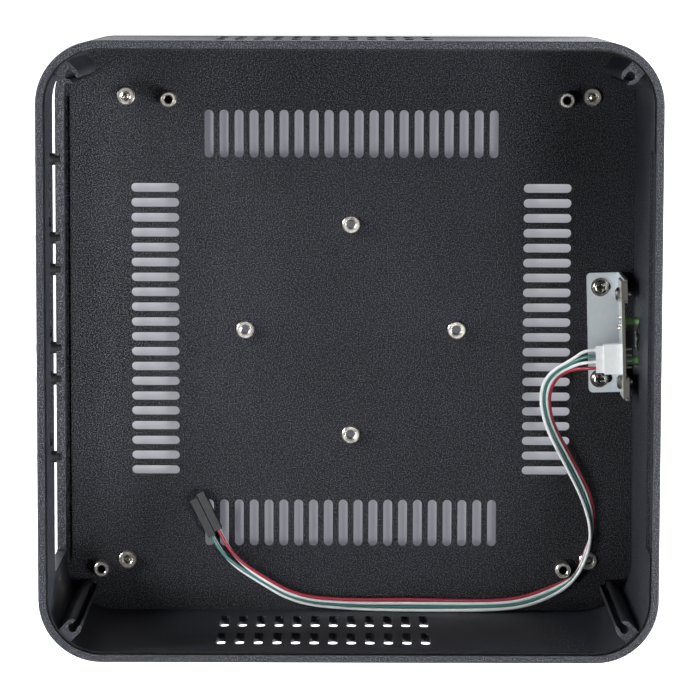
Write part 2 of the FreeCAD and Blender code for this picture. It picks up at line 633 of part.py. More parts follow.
one_standoff = turned("one_standoff", [
    ("0", "-sizes.base_thick"), ("sizes.shank_radius", "-sizes.base_thick"),
    ("sizes.shank_radius", "0"), ("sizes.standoff_radius", "0"),
    ("sizes.standoff_radius", "sizes.standoff_height - 0.3"),
    ("sizes.standoff_radius - 0.3", "sizes.standoff_height"),
    ("sizes.tapped_radius + 0.35", "sizes.standoff_height"),
    ("sizes.tapped_radius", "sizes.standoff_height - 0.35"),
    ("sizes.tapped_radius", "1.3 - sizes.base_thick"), ("0", "0.6 - sizes.base_thick")])
keep(group("board_standoffs", one_standoff, places(BOARD_PLACES, FLOOR)))

# Base screws up into the frame's channels
one_base_screw = turned("one_base_screw", [
    ("0", "0"), ("sizes.flat_head", "0"), ("sizes.thread_radius", "sizes.flat_deep"),
    ("sizes.thread_radius", "8"), ("0", "8")])
cross = new_sketch(one_base_screw, "XY_Plane")
draw_polygon(cross, [(str(x), str(y)) for x, y in [
    (0.3, 0.3), (1.5, 0.3), (1.5, -0.3), (0.3, -0.3), (0.3, -1.5), (-0.3, -1.5),
    (-0.3, -0.3), (-1.5, -0.3), (-1.5, 0.3), (-0.3, 0.3), (-0.3, 1.5), (0.3, 1.5)]])
doc.recompute()
pocket(cross, "0.9", backwards=True)
keep(group("base_screws", one_base_screw, places(CHANNEL_PLACES, RING_BASE)))

# Rubber feet, each held by a screw in a pressed nut
FOOT_SEAT = "sizes.foot_height / 2"
one_foot = turned("one_foot", [
    ("sizes.thread_radius + 0.3", FOOT_SEAT), ("3.3", FOOT_SEAT), ("3.3", "0"),
    ("sizes.foot_radius - 1", "0"), ("sizes.foot_radius - 0.4", "0.6"), ("sizes.foot_radius", "sizes.foot_height"),
    ("sizes.thread_radius + 0.3", "sizes.foot_height")])
FOOT_NAMES = ["foot_front_left", "foot_rear_left", "foot_front_right", "foot_rear_right"]
for name, (x, y) in zip(FOOT_NAMES, FOOT_PLACES):
    keep(group(name, one_foot, places([(x, y)], "0")))

SCREW_TOP = "sizes.foot_height + sizes.base_thick + 1.35"
one_foot_screw = turned("one_foot_screw", [
    ("0", "%s - 1.9" % FOOT_SEAT), ("2.3", "%s - 1.9" % FOOT_SEAT), ("2.8", "%s - 1.4" % FOOT_SEAT),
    ("2.8", FOOT_SEAT), ("sizes.thread_radius", FOOT_SEAT), ("sizes.thread_radius", SCREW_TOP + " - 0.6"),
    ("sizes.thread_radius * 0.8", SCREW_TOP + " - 0.2"), ("sizes.thread_radius * 0.4", SCREW_TOP), ("0", SCREW_TOP)])
keep(group("foot_screws", one_foot_screw, places(FOOT_PLACES, "0")))

# Blank covers over the serial port places, with their screws and nuts
COM_PLACES = ["%s - %d * sizes.com_pitch" % (COM_FIRST, step) for step in range(int(number("sizes.com_count")))]
for step, place in enumerate(COM_PLACES, start=1):
    cover = new_body("port_cover_%d" % step)
    face = new_sketch(cover, "XZ_Plane", x=place, y=COM_LEVEL, level="-(%s)" % OUTSIDE_Y)
    draw_rounded(face, "0", "0", "sizes.cover_wide", "sizes.cover_tall", "2")
    for side in SIDES:
        draw_circle(face, "0 %s sizes.com_screws / 2" % side, "0", "sizes.jack_radius + sizes.fit_gap")
    doc.recompute()
    pad(face, "sizes.cover_thick", backwards=True)
    keep(cover)

JACK_BACK = "sizes.cover_thick + sizes.wall + 2 * sizes.jack_nut_thick"
one_jack = turned("one_jack_screw", [
    ("0", "0"), ("sizes.jack_radius", "0"), ("sizes.jack_radius", JACK_BACK), ("sizes.jack_head", JACK_BACK),
    ("sizes.jack_head", "%s + sizes.jack_high - 0.3" % JACK_BACK),
    ("sizes.jack_head - 0.4", "%s + sizes.jack_high" % JACK_BACK), ("0", "%s + sizes.jack_high" % JACK_BACK)])
cut_cross(one_jack, "%s + sizes.jack_high" % JACK_BACK, 1.3, 0.25, 0.5)
jack_spots = [number("%s %s sizes.com_screws / 2" % (place, side)) for place in COM_PLACES for side in SIDES]
jack_start = number("%s - 2 * sizes.jack_nut_thick" % INSIDE_Y)
keep(group("port_screws", one_jack, [at(x, jack_start, number(COM_LEVEL), POINT_TO_REAR) for x in jack_spots]))
one_jack_nut = turned("one_jack_nut", [
    ("sizes.jack_radius + sizes.fit_gap", "0"), ("sizes.jack_nut", "0"), ("sizes.jack_nut", "sizes.jack_nut_thick"),
    ("sizes.jack_radius + sizes.fit_gap", "sizes.jack_nut_thick")])
nut_start = number("%s - sizes.jack_nut_thick" % INSIDE_Y)
keep(group("port_nuts", one_jack_nut, [at(x, nut_start, number(COM_LEVEL), POINT_TO_REAR) for x in jack_spots]))

# Switch bracket and what it carries are drawn in the bracket's own frame:
# its front face at y = 0, its foot on z = 0
BRACKET_FRAME = FreeCAD.Placement(vector(number("sizes.bracket_x"), number(BRACKET_FRONT), number(FLOOR)),
                                  FreeCAD.Rotation(vector(0, 0, 1), number("sizes.bracket_turn")))


def on_bracket(body):
    body.Placement = BRACKET_FRAME.multiply(body.Placement)
    return keep(body)


bracket = new_body("switch_bracket")
foot_sketch = new_sketch(bracket, "XY_Plane")
draw_rectangle(foot_sketch, "0", half("sizes.bracket_deep"), "sizes.bracket_wide", "sizes.bracket_deep")
doc.recompute()
pad(foot_sketch, "sizes.sheet")
ears = new_sketch(bracket, "XZ_Plane")
for side in SIDES:
    draw_rectangle(ears, "0 %s (sizes.bracket_wide - sizes.ear_wide) / 2" % side, half("sizes.bracket_tall"),
                   "sizes.ear_wide", "sizes.bracket_tall")
doc.recompute()
pad(ears, "sizes.sheet", backwards=True)


bend = edges_where(bracket.Shape, lambda box: box.YMax < 1e-4 and box.ZMax < 1e-4)
dress(bracket, "PartDesign::Fillet", "Radius", bend, "sizes.sheet * 0.8")
deep, tall = number("sizes.bracket_deep"), number("sizes.bracket_tall")
rear = edges_where(bracket.Shape, lambda box: box.YMin > deep - 1e-4 and max(box.XLength, box.YLength) < 1e-4)
dress(bracket, "PartDesign::Fillet", "Radius", rear, "1.5")
top = edges_where(bracket.Shape, lambda box: box.ZMin > tall - 1e-4 and max(box.XLength, box.ZLength) < 1e-4)
dress(bracket, "PartDesign::Fillet", "Radius", top, "1.5")
slots = new_sketch(bracket, "XY_Plane", level="sizes.sheet")
for side in SIDES:
    draw_slot(slots, "0 %s sizes.screw_spread / 2" % side, "sizes.screw_back - 0.95", "3.3", "6.3", True)
doc.recompute()
pocket(slots)
ear_holes = new_sketch(bracket, "XZ_Plane")
for side in SIDES:
    draw_circle(ear_holes, "0 %s sizes.pcb_spread / 2" % side, "sizes.key_high", "sizes.small_radius + sizes.fit_gap")
doc.recompute()
pocket(ear_holes, "sizes.sheet + 1")
on_bracket(bracket)

one_washer = turned("one_washer", [
    ("sizes.thread_radius + 0.1", "sizes.sheet"), ("sizes.washer_radius", "sizes.sheet"),
    ("sizes.washer_radius", "sizes.sheet + sizes.washer_thick"),
    ("sizes.thread_radius + 0.1", "sizes.sheet + sizes.washer_thick")])
keep(group("bracket_washers", one_washer, places(BRACKET_PLACES, FLOOR)))

one_bracket_screw = turned("one_bracket_screw", [
    ("0", "-sizes.base_thick"), ("sizes.thread_radius", "-sizes.base_thick"),
    ("sizes.thread_radius", "sizes.sheet + sizes.washer_thick"),
    ("sizes.pan_radius", "sizes.sheet + sizes.washer_thick"),
    ("sizes.pan_radius", "sizes.sheet + sizes.washer_thick + 1.1"),
    ("sizes.pan_radius - 0.6", "sizes.sheet + sizes.washer_thick + 1.65"),
    ("sizes.pan_radius - 1.3", "sizes.sheet + sizes.washer_thick + sizes.pan_high"),
    ("0", "sizes.sheet + sizes.washer_thick + sizes.pan_high")])
cut_cross(one_bracket_screw, "sizes.sheet + sizes.washer_thick + sizes.pan_high", 1.4, 0.35, 1.1)
keep(group("bracket_screws", one_bracket_screw, places(BRACKET_PLACES, FLOOR)))

# Switch board against the inner faces of the ears
board = new_body("switch_board")
board_face = new_sketch(board, "XZ_Plane", level="-sizes.sheet")
BOARD_MIDDLE = "sizes.bracket_tall - sizes.pcb_tall / 2"
draw_rectangle(board_face, "0", BOARD_MIDDLE, "sizes.pcb_wide", "sizes.pcb_tall")
for side in SIDES:
    draw_circle(board_face, "0 %s sizes.pcb_spread / 2" % side, "sizes.key_high", "sizes.small_radius + 0.3")
PIN_SPOTS = ["sizes.header_side + %.1f * sizes.pin_pitch" % (step - 1.5) for step in range(4)]
for spot in PIN_SPOTS:
    draw_circle(board_face, spot, "sizes.header_up", "sizes.pin_wide * 0.75")
LEG_SPOTS = [("sizes.lamp_side %s sizes.lamp_spread %s sizes.lamp_legs / 2" % (lamp, leg), "sizes.key_high")
             for lamp in SIDES for leg in SIDES]
LEG_SPOTS += [("sizes.key_side %s sizes.switch_legs / 2" % side, "sizes.key_high - sizes.leg_drop") for side in SIDES]
for x, z in LEG_SPOTS:
    draw_circle(board_face, x, z, "sizes.leg_wide * 0.75")
doc.recompute()
pad(board_face, "sizes.pcb_thick", backwards=True)
on_bracket(board)

BOARD_BACK = "(sizes.sheet + sizes.pcb_thick)"
one_board_screw = turned("one_board_screw", [
    ("0", "-1.5"), ("sizes.small_radius", "-1.5"), ("sizes.small_radius", BOARD_BACK),
    ("sizes.small_head", BOARD_BACK), ("sizes.small_head", "%s + sizes.small_high - 0.6" % BOARD_BACK),
    ("sizes.small_head - 0.8", "%s + sizes.small_high" % BOARD_BACK), ("0", "%s + sizes.small_high" % BOARD_BACK)])
cut_cross(one_board_screw, "%s + sizes.small_high" % BOARD_BACK, 1.1, 0.25, 0.8)
board_screw_spots = [at(number("0 %s sizes.pcb_spread / 2" % side), 0, number("sizes.key_high"), POINT_TO_REAR)
                     for side in SIDES]
on_bracket(group("board_screws", one_board_screw, board_screw_spots))

# Push switch: moulded body, metal plate and stem
SWITCH_FRONT = "(sizes.sheet - sizes.switch_deep)"
switch = new_body("switch_body")
block = new_sketch(switch, "XZ_Plane", level="-sizes.sheet")
draw_rectangle(block, "sizes.key_side", "sizes.key_high", "sizes.switch_wide", "sizes.switch_wide")
doc.recompute()
pad(block, "sizes.switch_deep")
well = new_sketch(switch, "XZ_Plane", level=minus(SWITCH_FRONT))
draw_circle(well, "sizes.key_side", "sizes.key_high", "sizes.stem_radius + sizes.button_fit")
doc.recompute()
pocket(well, "sizes.switch_deep - 1")
on_bracket(switch)

plate_front = new_body("switch_plate")
plate_face = new_sketch(plate_front, "XZ_Plane", level=minus(SWITCH_FRONT))
draw_rectangle(plate_face, "sizes.key_side", "sizes.key_high", "sizes.switch_face", "sizes.switch_face")
draw_circle(plate_face, "sizes.key_side", "sizes.key_high", "sizes.stem_radius + sizes.button_fit")
doc.recompute()
pad(plate_face, "sizes.switch_plate")
on_bracket(plate_front)

stem = doc.addObject("Part::Cylinder", "switch_stem")
stem.Label = "switch_stem"
stem.setExpression("Radius", "sizes.stem_radius")
stem.setExpression("Height", "sizes.switch_deep + sizes.switch_plate + sizes.stem_out - 1.5")
stem.Placement = BRACKET_FRAME.multiply(at(number("sizes.key_side"), number("%s + sizes.switch_deep + "
                                           "sizes.switch_plate + sizes.stem_out - 1.5" % STEM_TIP),
                                           number("sizes.key_high"), POINT_TO_FRONT))
doc.recompute()
keep(stem)

# Power button in the front wall, kept in by a rim that sits in a recess of the wall
RIM_FRONT = "(%s + sizes.rim_pocket - 0.05)" % INSIDE_Y
RIM_BACK = "(%s - sizes.button_rim_thick)" % RIM_FRONT
BOSS_BACK = "(0.06 - %s - sizes.key_side * %s - %s * %s)" % (BRACKET_FRONT, SINE, STEM_TIP, COSINE)
BUTTON_FACE = "(%s + sizes.button_proud)" % OUTSIDE_Y
button = turned("power_button", [
    ("0", BOSS_BACK), ("sizes.button_boss", BOSS_BACK), ("sizes.button_boss", RIM_BACK),
    ("sizes.button_rim", RIM_BACK), ("sizes.button_rim", RIM_FRONT), ("sizes.button_radius", RIM_FRONT),
    ("sizes.button_radius", "%s - 0.3" % BUTTON_FACE), ("sizes.button_radius - 0.3", BUTTON_FACE),
    ("0", BUTTON_FACE)])
button.Placement = at(number(BUTTON_X), 0, number(KEY_LEVEL), POINT_TO_FRONT)
keep(button)

# Lamps either side of the button
for name, side in (("power_lamp", "+"), ("drive_lamp", "-")):
    place = number("sizes.lamp_side %s sizes.lamp_spread" % side)
    rim = doc.addObject("Part::Cylinder", name + "_rim")
    rim.setExpression("Radius", "sizes.lamp_rim")
    rim.Height = 1.0
    barrel = doc.addObject("Part::Cylinder", name + "_barrel")
    barrel.setExpression("Radius", "sizes.lamp_radius")
    barrel.setExpression("Height", "sizes.lamp_long - sizes.lamp_radius")
    dome = doc.addObject("Part::Sphere", name + "_dome")
    dome.setExpression("Radius", "sizes.lamp_radius")
    dome.setExpression("Placement.Base.z", "sizes.lamp_long - sizes.lamp_radius")
    dome.Angle1 = 0
    lamp = doc.addObject("Part::MultiFuse", name)
    lamp.Label = name
    lamp.Shapes = [rim, barrel, dome]
    lamp.Placement = BRACKET_FRAME.multiply(at(place, number("sizes.sheet"), number("sizes.key_high"), POINT_TO_FRONT))
    doc.recompute()
    keep(lamp)

# Header behind the board, its pins and the cable plug in it
def cut_pin_holes(body, length):
    """Square holes for the four pins, from the back of the switch board rearwards."""
    holes = new_sketch(body, "XZ_Plane", level=minus(BOARD_BACK))
    for spot in PIN_SPOTS:
        draw_rectangle(holes, spot, "sizes.header_up", "sizes.pin_wide + 0.1", "sizes.pin_wide + 0.1")
    doc.recompute()
    pocket(holes, length)


header = new_body("board_header")
header_block = new_sketch(header, "XZ_Plane", level=minus(BOARD_BACK))
draw_rectangle(header_block, "sizes.header_side", "sizes.header_up", "sizes.header_wide", "sizes.header_tall")
doc.recompute()
pad(header_block, "sizes.header_deep", backwards=True)
mouth = new_sketch(header, "XZ_Plane", level="-(%s + sizes.header_deep)" % BOARD_BACK)
draw_rectangle(mouth, "sizes.header_side", "sizes.header_up", "sizes.header_wide - 2 * sizes.header_wall",
               "sizes.header_tall - 2 * sizes.header_wall")
doc.recompute()
pocket(mouth, "sizes.header_deep - 1", backwards=True)
cut_pin_holes(header, "sizes.header_deep")
on_bracket(header)

pin = doc.addObject("Part::Box", "one_pin")
pin.setExpression("Length", "sizes.pin_wide")
pin.setExpression("Width", "sizes.pcb_thick + sizes.pin_out + sizes.pin_in")
pin.setExpression("Height", "sizes.pin_wide")
doc.recompute()
half_pin = number("sizes.pin_wide") / 2
pin_spots = [at(number(spot) - half_pin, number("sizes.sheet - sizes.pin_out"),
                number("sizes.header_up") - half_pin) for spot in PIN_SPOTS]
on_bracket(group("header_pins", pin, pin_spots))

plug = new_body("cable_plug")
plug_face = new_sketch(plug, "XZ_Plane", level="-(%s + 1.1)" % BOARD_BACK)
PLUG_WIDE = "(sizes.header_wide - 2 * sizes.header_wall - 2 * sizes.plug_gap)"
PLUG_TALL = "(sizes.header_tall - 2 * sizes.header_wall - 2 * sizes.plug_gap)"
draw_rectangle(plug_face, "sizes.header_side", "sizes.header_up", PLUG_WIDE, PLUG_TALL)
doc.recompute()
pad(plug_face, "sizes.header_deep + sizes.plug_out - 1.1", backwards=True)
cut_pin_holes(plug, "sizes.pin_in + 0.5")
on_bracket(plug)

# Legs of the lamps and the switch through the board, and the solder round legs and pins
leg = doc.addObject("Part::Box", "one_leg")
leg.setExpression("Length", "sizes.leg_wide")
leg.setExpression("Width", "sizes.pcb_thick + sizes.leg_out")
leg.setExpression("Height", "sizes.leg_wide")
doc.recompute()
half_leg = number("sizes.leg_wide") / 2
leg_places = [at(number(x) - half_leg, number("sizes.sheet"), number(z) - half_leg) for x, z in LEG_SPOTS]
on_bracket(group("lamp_legs", leg, leg_places[:4]))
on_bracket(group("switch_legs", leg, leg_places[4:]))

one_solder = turned("one_solder", [
    ("sizes.leg_wide * 0.75", "0"), ("sizes.solder_radius", "0"), ("sizes.solder_radius * 0.85", "sizes.solder_high * 0.3"),
    ("sizes.leg_wide * 0.95", "sizes.solder_high"), ("sizes.leg_wide * 0.75", "sizes.solder_high")])
one_collar = turned("one_collar", [
    ("sizes.pin_wide * 0.73", "0"), ("sizes.pin_solder", "0"), ("sizes.pin_wide * 0.8", "sizes.solder_high"),
    ("sizes.pin_wide * 0.73", "sizes.solder_high")])
solder_places = [at(number(x), number(BOARD_BACK), number(z), POINT_TO_REAR) for x, z in LEG_SPOTS]
collar_places = [at(number(x), number("sizes.sheet"), number("sizes.header_up"), POINT_TO_FRONT) for x in PIN_SPOTS]
on_bracket(group("solder_joints", one_solder, solder_places, one_collar, collar_places))

# Two lead housings that stand on edge on the floor
LEADS = (("lead_housing_a", "sizes.lead_a_x", "sizes.lead_a_y"), ("lead_housing_b", "sizes.lead_b_x", "sizes.lead_b_y"))
for name, x, y in LEADS:
    lead = new_body(name)
    block = new_sketch(lead, "YZ_Plane")
    draw_rectangle(block, "0", half("sizes.lead_tall"), "sizes.lead_wide", "sizes.lead_tall")
    doc.recompute()
    pad(block, "sizes.lead_long")
    sockets = new_sketch(lead, "YZ_Plane", level="sizes.lead_long")
    for level in ("sizes.lead_tall / 4", "sizes.lead_tall * 3 / 4"):
        draw_rectangle(sockets, "0", level, "1.2", "1.2")
    doc.recompute()
    pocket(sockets, "4")
    windows = new_sketch(lead, "XZ_Plane", level="sizes.lead_wide / 2")
    for level in ("sizes.lead_tall / 4", "sizes.lead_tall * 3 / 4"):
        draw_rectangle(windows, "sizes.lead_long - 6.5", level, "1.8", "1.3")
    doc.recompute()
    pocket(windows, "0.6")
    lead.Placement = at(number(x), number(y), number(FLOOR),
                        FreeCAD.Rotation(vector(0, 0, 1), number("sizes.lead_turn")))
    keep(lead)

# Four wires from the plug to the lead housings, side by side.
# Points of each route, in the order from the plug to its lead housing.
ROUTES = {
    "wire_white_outer": [
        (-4, -80.9, 32), (-4.1, -77.3, 32), (-7.3, -73.6, 29.9), (-11.3, -67.5, 24.9),
        (-16, -64.2, 21.4), (-22.8, -63.5, 18.1), (-32.2, -65.7, 15.7), (-46.1, -73.1, 13.9),
        (-57.1, -78.6, 13.2), (-66.4, -81.2, 13.3), (-74.3, -80.4, 14.1), (-82.6, -76.7, 13.9),
        (-88.4, -70.6, 13), (-93.3, -58.6, 12.9), (-94.2, -45.3, 13), (-94.3, -20.1, 13),
        (-94.2, -1, 11), (-92.7, 18.1, 9.4), (-84.8, 31.3, 8.9), (-80.2, 38.2, 9.3),
        (-74.8, 43.3, 9.3), (-69.4, 46, 9.3)],
    "wire_green": [
        (-6, -81, 32), (-6.1, -77.4, 32), (-8.5, -73.6, 29.3), (-12.1, -68.1, 24.1),
        (-16.6, -65.1, 20.7), (-23.1, -64.5, 17.3), (-32, -66.6, 14.8), (-45.6, -74, 13.2),
        (-56.8, -79.7, 12.5), (-66.7, -81.7, 12.1), (-74.3, -80.1, 12.9), (-82.6, -76.6, 12.7),
        (-87.7, -70.2, 12), (-92.4, -58.3, 11.9), (-93.3, -45.4, 12), (-93, -20.1, 13),
        (-93.1, -1.1, 11.7), (-91.7, 17.8, 10.2), (-84.1, 30.9, 9.7), (-79.6, 37.6, 11),
        (-74.8, 43.3, 11.8), (-69.4, 46, 11.8)],
    "wire_white_inner": [
        (-8, -81, 32), (-8.1, -77.4, 32), (-9.7, -73.6, 28.7), (-12.8, -68.8, 23.3),
        (-17.2, -66, 20.1), (-23.3, -65.5, 16.6), (-31.7, -67.4, 13.9), (-45.1, -74.9, 12.5),
        (-56.6, -80.7, 11.9), (-66.9, -82.1, 10.9), (-74.3, -79.8, 11.6), (-82.7, -76.6, 11.4),
        (-87, -69.8, 11), (-91.6, -58, 11), (-92.5, -45.4, 10.9), (-91.8, -20, 13.1),
        (-92, -1.1, 12.4), (-90.8, 17.4, 11.1), (-83.3, 30.5, 10.8), (-78.6, 36.6, 9.9),
        (-72.6, 41.3, 9.3), (-67.2, 43.9, 9.3)],
    "wire_red": [
        (-10, -81.1, 32), (-10.1, -77.5, 32), (-10.9, -73.6, 28.1), (-13.6, -69.4, 22.5),
        (-17.8, -67, 19.5), (-23.5, -66.5, 15.8), (-31.5, -68.2, 12.9), (-44.5, -75.8, 11.9),
        (-56.4, -81.8, 11.2), (-67.2, -82.6, 9.7), (-74.2, -79.5, 10.4), (-82.9, -76.6, 10.1),
        (-86.3, -69.4, 10.1), (-90.7, -57.8, 10), (-91.7, -45.5, 9.8), (-90.5, -20, 13.1),
        (-90.9, -1.2, 13.1), (-89.9, 17, 11.9), (-82.5, 30, 11.6), (-78.2, 36.2, 11.6),
        (-72.6, 41.3, 11.8), (-67.2, 43.9, 11.8)],
}


def wire_path(points):
    """Straight runs joined by tangent arcs, each as large as its two runs allow."""
    nodes = [vector(*point) for point in points]
    edges = []
    radii = []
    start = nodes[0]
    for before, corner_point, after in zip(nodes, nodes[1:], nodes[2:]):
        towards = (corner_point - before).normalize()
        away = (after - corner_point).normalize()
        turn = towards.getAngle(away)
        reach = 0.45 * min(corner_point.distanceToPoint(before), corner_point.distanceToPoint(after))
        radius = reach / math.tan(turn / 2)
        entry = corner_point - towards * reach
        leave = corner_point + away * reach
        inwards = (away - towards).normalize()
        middle = corner_point + inwards * (radius / math.cos(turn / 2) - radius)
        edges.append(Part.LineSegment(start, entry).toShape())
        edges.append(Part.Arc(entry, middle, leave).toShape())
        radii.append(radius)
        start = leave
    edges.append(Part.LineSegment(start, nodes[-1]).toShape())
    return Part.Wire(edges), radii


for name, points in ROUTES.items():
    path, radii = wire_path(points)
    radius = number("sizes.wire_diameter") / 2
    heading = vector(*points[1]) - vector(*points[0])
    ring_edge = Part.Wire(Part.makeCircle(radius, vector(*points[0]), heading))
    tube = path.makePipeShell([ring_edge], True, True)
    expected = math.pi * radius * radius * path.Length
    print("%s: length %.1f, radii %s" % (name, path.Length, [round(value, 1) for value in radii]))
    if abs(tube.Volume - expected) > 0.02 * expected:
        raise RuntimeError("the tube of %s has the wrong volume" % name)
    wire = doc.addObject("Part::Feature", name)
    wire.Label = name
    wire.Shape = tube
    keep(wire)

# Checks and files
doc.recompute()
for item in doc.Objects:
    if any(state in ("Invalid", "Error") for state in item.State):
        raise RuntimeError("%s is in error" % item.Label)
for node in NODES:
    shape = node.Shape
    if shape.isNull() or not shape.isValid() or not shape.Solids:
        raise RuntimeError("%s has no valid solid" % node.Label)
for node in NODES:
    node.Shape.exportStep("parts/%s.step" % node.Label)
    box = node.Shape.BoundBox
    print("%s: %d solid(s), volume %.1f, X %.2f %.2f, Y %.2f %.2f, Z %.2f %.2f" % (
        node.Label, len(node.Shape.Solids), node.Shape.Volume,
        box.XMin, box.XMax, box.YMin, box.YMax, box.ZMin, box.ZMax))
print("%d nodes" % len(NODES))
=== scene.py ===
# %% [markdown]
# An open mini-ITX case, dressed for its portrait
#
# The solids of the case come packed from the CAD side: a frame ring, a slotted floor plate, nuts,
# standoffs and a small switch bracket with its wires. This lesson loads them and then goes on in
# eight steps: camera, wires, pan screws, floor, lamps, shared effects, finishes and dressing the
# pieces.
# The scene is in metres, so a size in millimetres is written with MM.

# %% Load the imported model
import math
import bpy
import numpy as np
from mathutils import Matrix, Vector


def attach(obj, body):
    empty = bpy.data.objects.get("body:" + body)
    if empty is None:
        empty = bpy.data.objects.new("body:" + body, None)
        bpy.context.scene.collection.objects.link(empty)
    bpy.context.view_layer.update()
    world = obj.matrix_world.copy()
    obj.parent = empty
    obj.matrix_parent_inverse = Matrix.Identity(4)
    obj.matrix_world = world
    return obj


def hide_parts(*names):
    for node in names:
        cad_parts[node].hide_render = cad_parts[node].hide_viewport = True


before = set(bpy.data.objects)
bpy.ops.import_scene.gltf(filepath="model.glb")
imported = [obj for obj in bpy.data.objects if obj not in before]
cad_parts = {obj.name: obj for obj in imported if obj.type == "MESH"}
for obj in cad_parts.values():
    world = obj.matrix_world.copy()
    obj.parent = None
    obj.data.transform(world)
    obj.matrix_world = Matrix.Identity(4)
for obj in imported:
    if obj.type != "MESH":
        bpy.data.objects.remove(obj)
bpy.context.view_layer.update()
MM = 0.001
print("nodes:", len(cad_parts))

# %% [markdown]
# The camera
#
# A photograph taken from about 1.2 m through a long lens looks almost like a plan, but the side
# walls still show. The place and the turn below came from matching the rim, the floor slots and the
# board standoffs to their places in the picture, so the render can be laid over it. The lens
# follows from the focal length in pixels, as the sensor's width is to the picture's side.

# %% Camera over the open top
IMAGE_SIDE = 700
FOCAL_PIXELS = 3557.2
SENSOR_MM = 36.0
CAMERA_SPOT = (0.12075, -0.00173, 1.19332)
CAMERA_TURN = (-0.1072, 0.0016, 0.0026 - math.pi / 2)


def put_object(name, data):
    """New object with the given data, linked to the scene, at the origin until it is moved."""
    thing = bpy.data.objects.new(name, data)
    bpy.context.collection.objects.link(thing)
    return thing


camera_data = bpy.data.cameras.new("camera")
camera_data.sensor_width = SENSOR_MM
camera_data.lens = SENSOR_MM * FOCAL_PIXELS / IMAGE_SIDE
camera = put_object("camera", camera_data)
camera.location = CAMERA_SPOT
camera.rotation_euler = CAMERA_TURN
bpy.context.scene.camera = camera
bpy.context.scene.view_settings.view_transform = "Standard"
print("lens in mm:", round(camera_data.lens, 1))

# %% [markdown]
# The wires
#
# A wire is soft, so it gets a curve and not a hard tube. Each is a NURBS curve with a handful of
# points: it starts straight out of the white plug, falls over the edge of the bracket, crosses the
# floor, leans on the left wall and comes back to its black lead housing. The curve never touches
# the corner points, which is what makes a limp wire look limp. The points are in millimetres, and
# they are the same as those of the solid tubes that the curves replace.

# %% Points of the four wires
WIRE_ROUTES = {
    "wire_white_outer_jacket": [
        (-4, -80.9, 32), (-4.1, -77.3, 32), (-7.3, -73.6, 29.9), (-11.3, -67.5, 24.9),
        (-16, -64.2, 21.4), (-22.8, -63.5, 18.1), (-32.2, -65.7, 15.7), (-46.1, -73.1, 13.9),
        (-57.1, -78.6, 13.2), (-66.4, -81.2, 13.3), (-74.3, -80.4, 14.1), (-82.6, -76.7, 13.9),
        (-88.4, -70.6, 13), (-93.3, -58.6, 12.9), (-94.2, -45.3, 13), (-94.3, -20.1, 13),
        (-94.2, -1, 11), (-92.7, 18.1, 9.4), (-84.8, 31.3, 8.9), (-80.2, 38.2, 9.3),
        (-74.8, 43.3, 9.3), (-69.4, 46, 9.3)],
    "wire_green_jacket": [
        (-6, -81, 32), (-6.1, -77.4, 32), (-8.5, -73.6, 29.3), (-12.1, -68.1, 24.1),
        (-16.6, -65.1, 20.7), (-23.1, -64.5, 17.3), (-32, -66.6, 14.8), (-45.6, -74, 13.2),
        (-56.8, -79.7, 12.5), (-66.7, -81.7, 12.1), (-74.3, -80.1, 12.9), (-82.6, -76.6, 12.7),
        (-87.7, -70.2, 12), (-92.4, -58.3, 11.9), (-93.3, -45.4, 12), (-93, -20.1, 13),
        (-93.1, -1.1, 11.7), (-91.7, 17.8, 10.2), (-84.1, 30.9, 9.7), (-79.6, 37.6, 11),
        (-74.8, 43.3, 11.8), (-69.4, 46, 11.8)],
    "wire_white_inner_jacket": [
        (-8, -81, 32), (-8.1, -77.4, 32), (-9.7, -73.6, 28.7), (-12.8, -68.8, 23.3),
        (-17.2, -66, 20.1), (-23.3, -65.5, 16.6), (-31.7, -67.4, 13.9), (-45.1, -74.9, 12.5),
        (-56.6, -80.7, 11.9), (-66.9, -82.1, 10.9), (-74.3, -79.8, 11.6), (-82.7, -76.6, 11.4),
        (-87, -69.8, 11), (-91.6, -58, 11), (-92.5, -45.4, 10.9), (-91.8, -20, 13.1),
        (-92, -1.1, 12.4), (-90.8, 17.4, 11.1), (-83.3, 30.5, 10.8), (-78.6, 36.6, 9.9),
        (-72.6, 41.3, 9.3), (-67.2, 43.9, 9.3)],
    "wire_red_jacket": [
        (-10, -81.1, 32), (-10.1, -77.5, 32), (-10.9, -73.6, 28.1), (-13.6, -69.4, 22.5),
        (-17.8, -67, 19.5), (-23.5, -66.5, 15.8), (-31.5, -68.2, 12.9), (-44.5, -75.8, 11.9),
        (-56.4, -81.8, 11.2), (-67.2, -82.6, 9.7), (-74.2, -79.5, 10.4), (-82.9, -76.6, 10.1),
        (-86.3, -69.4, 10.1), (-90.7, -57.8, 10), (-91.7, -45.5, 9.8), (-90.5, -20, 13.1),
        (-90.9, -1.2, 13.1), (-89.9, 17, 11.9), (-82.5, 30, 11.6), (-78.2, 36.2, 11.6),
        (-72.6, 41.3, 11.8), (-67.2, 43.9, 11.8)],
}
print("points of each wire:", [len(route) for route in WIRE_ROUTES.values()])

# %% [markdown]
# Now the curves. The order goes in after the points, because a spline without points can't hold it.
# A curve's box grows by the radius of its points, in metres, so that radius is small here and the
# bevel is larger by as much: the wire keeps its thickness and the box is true.

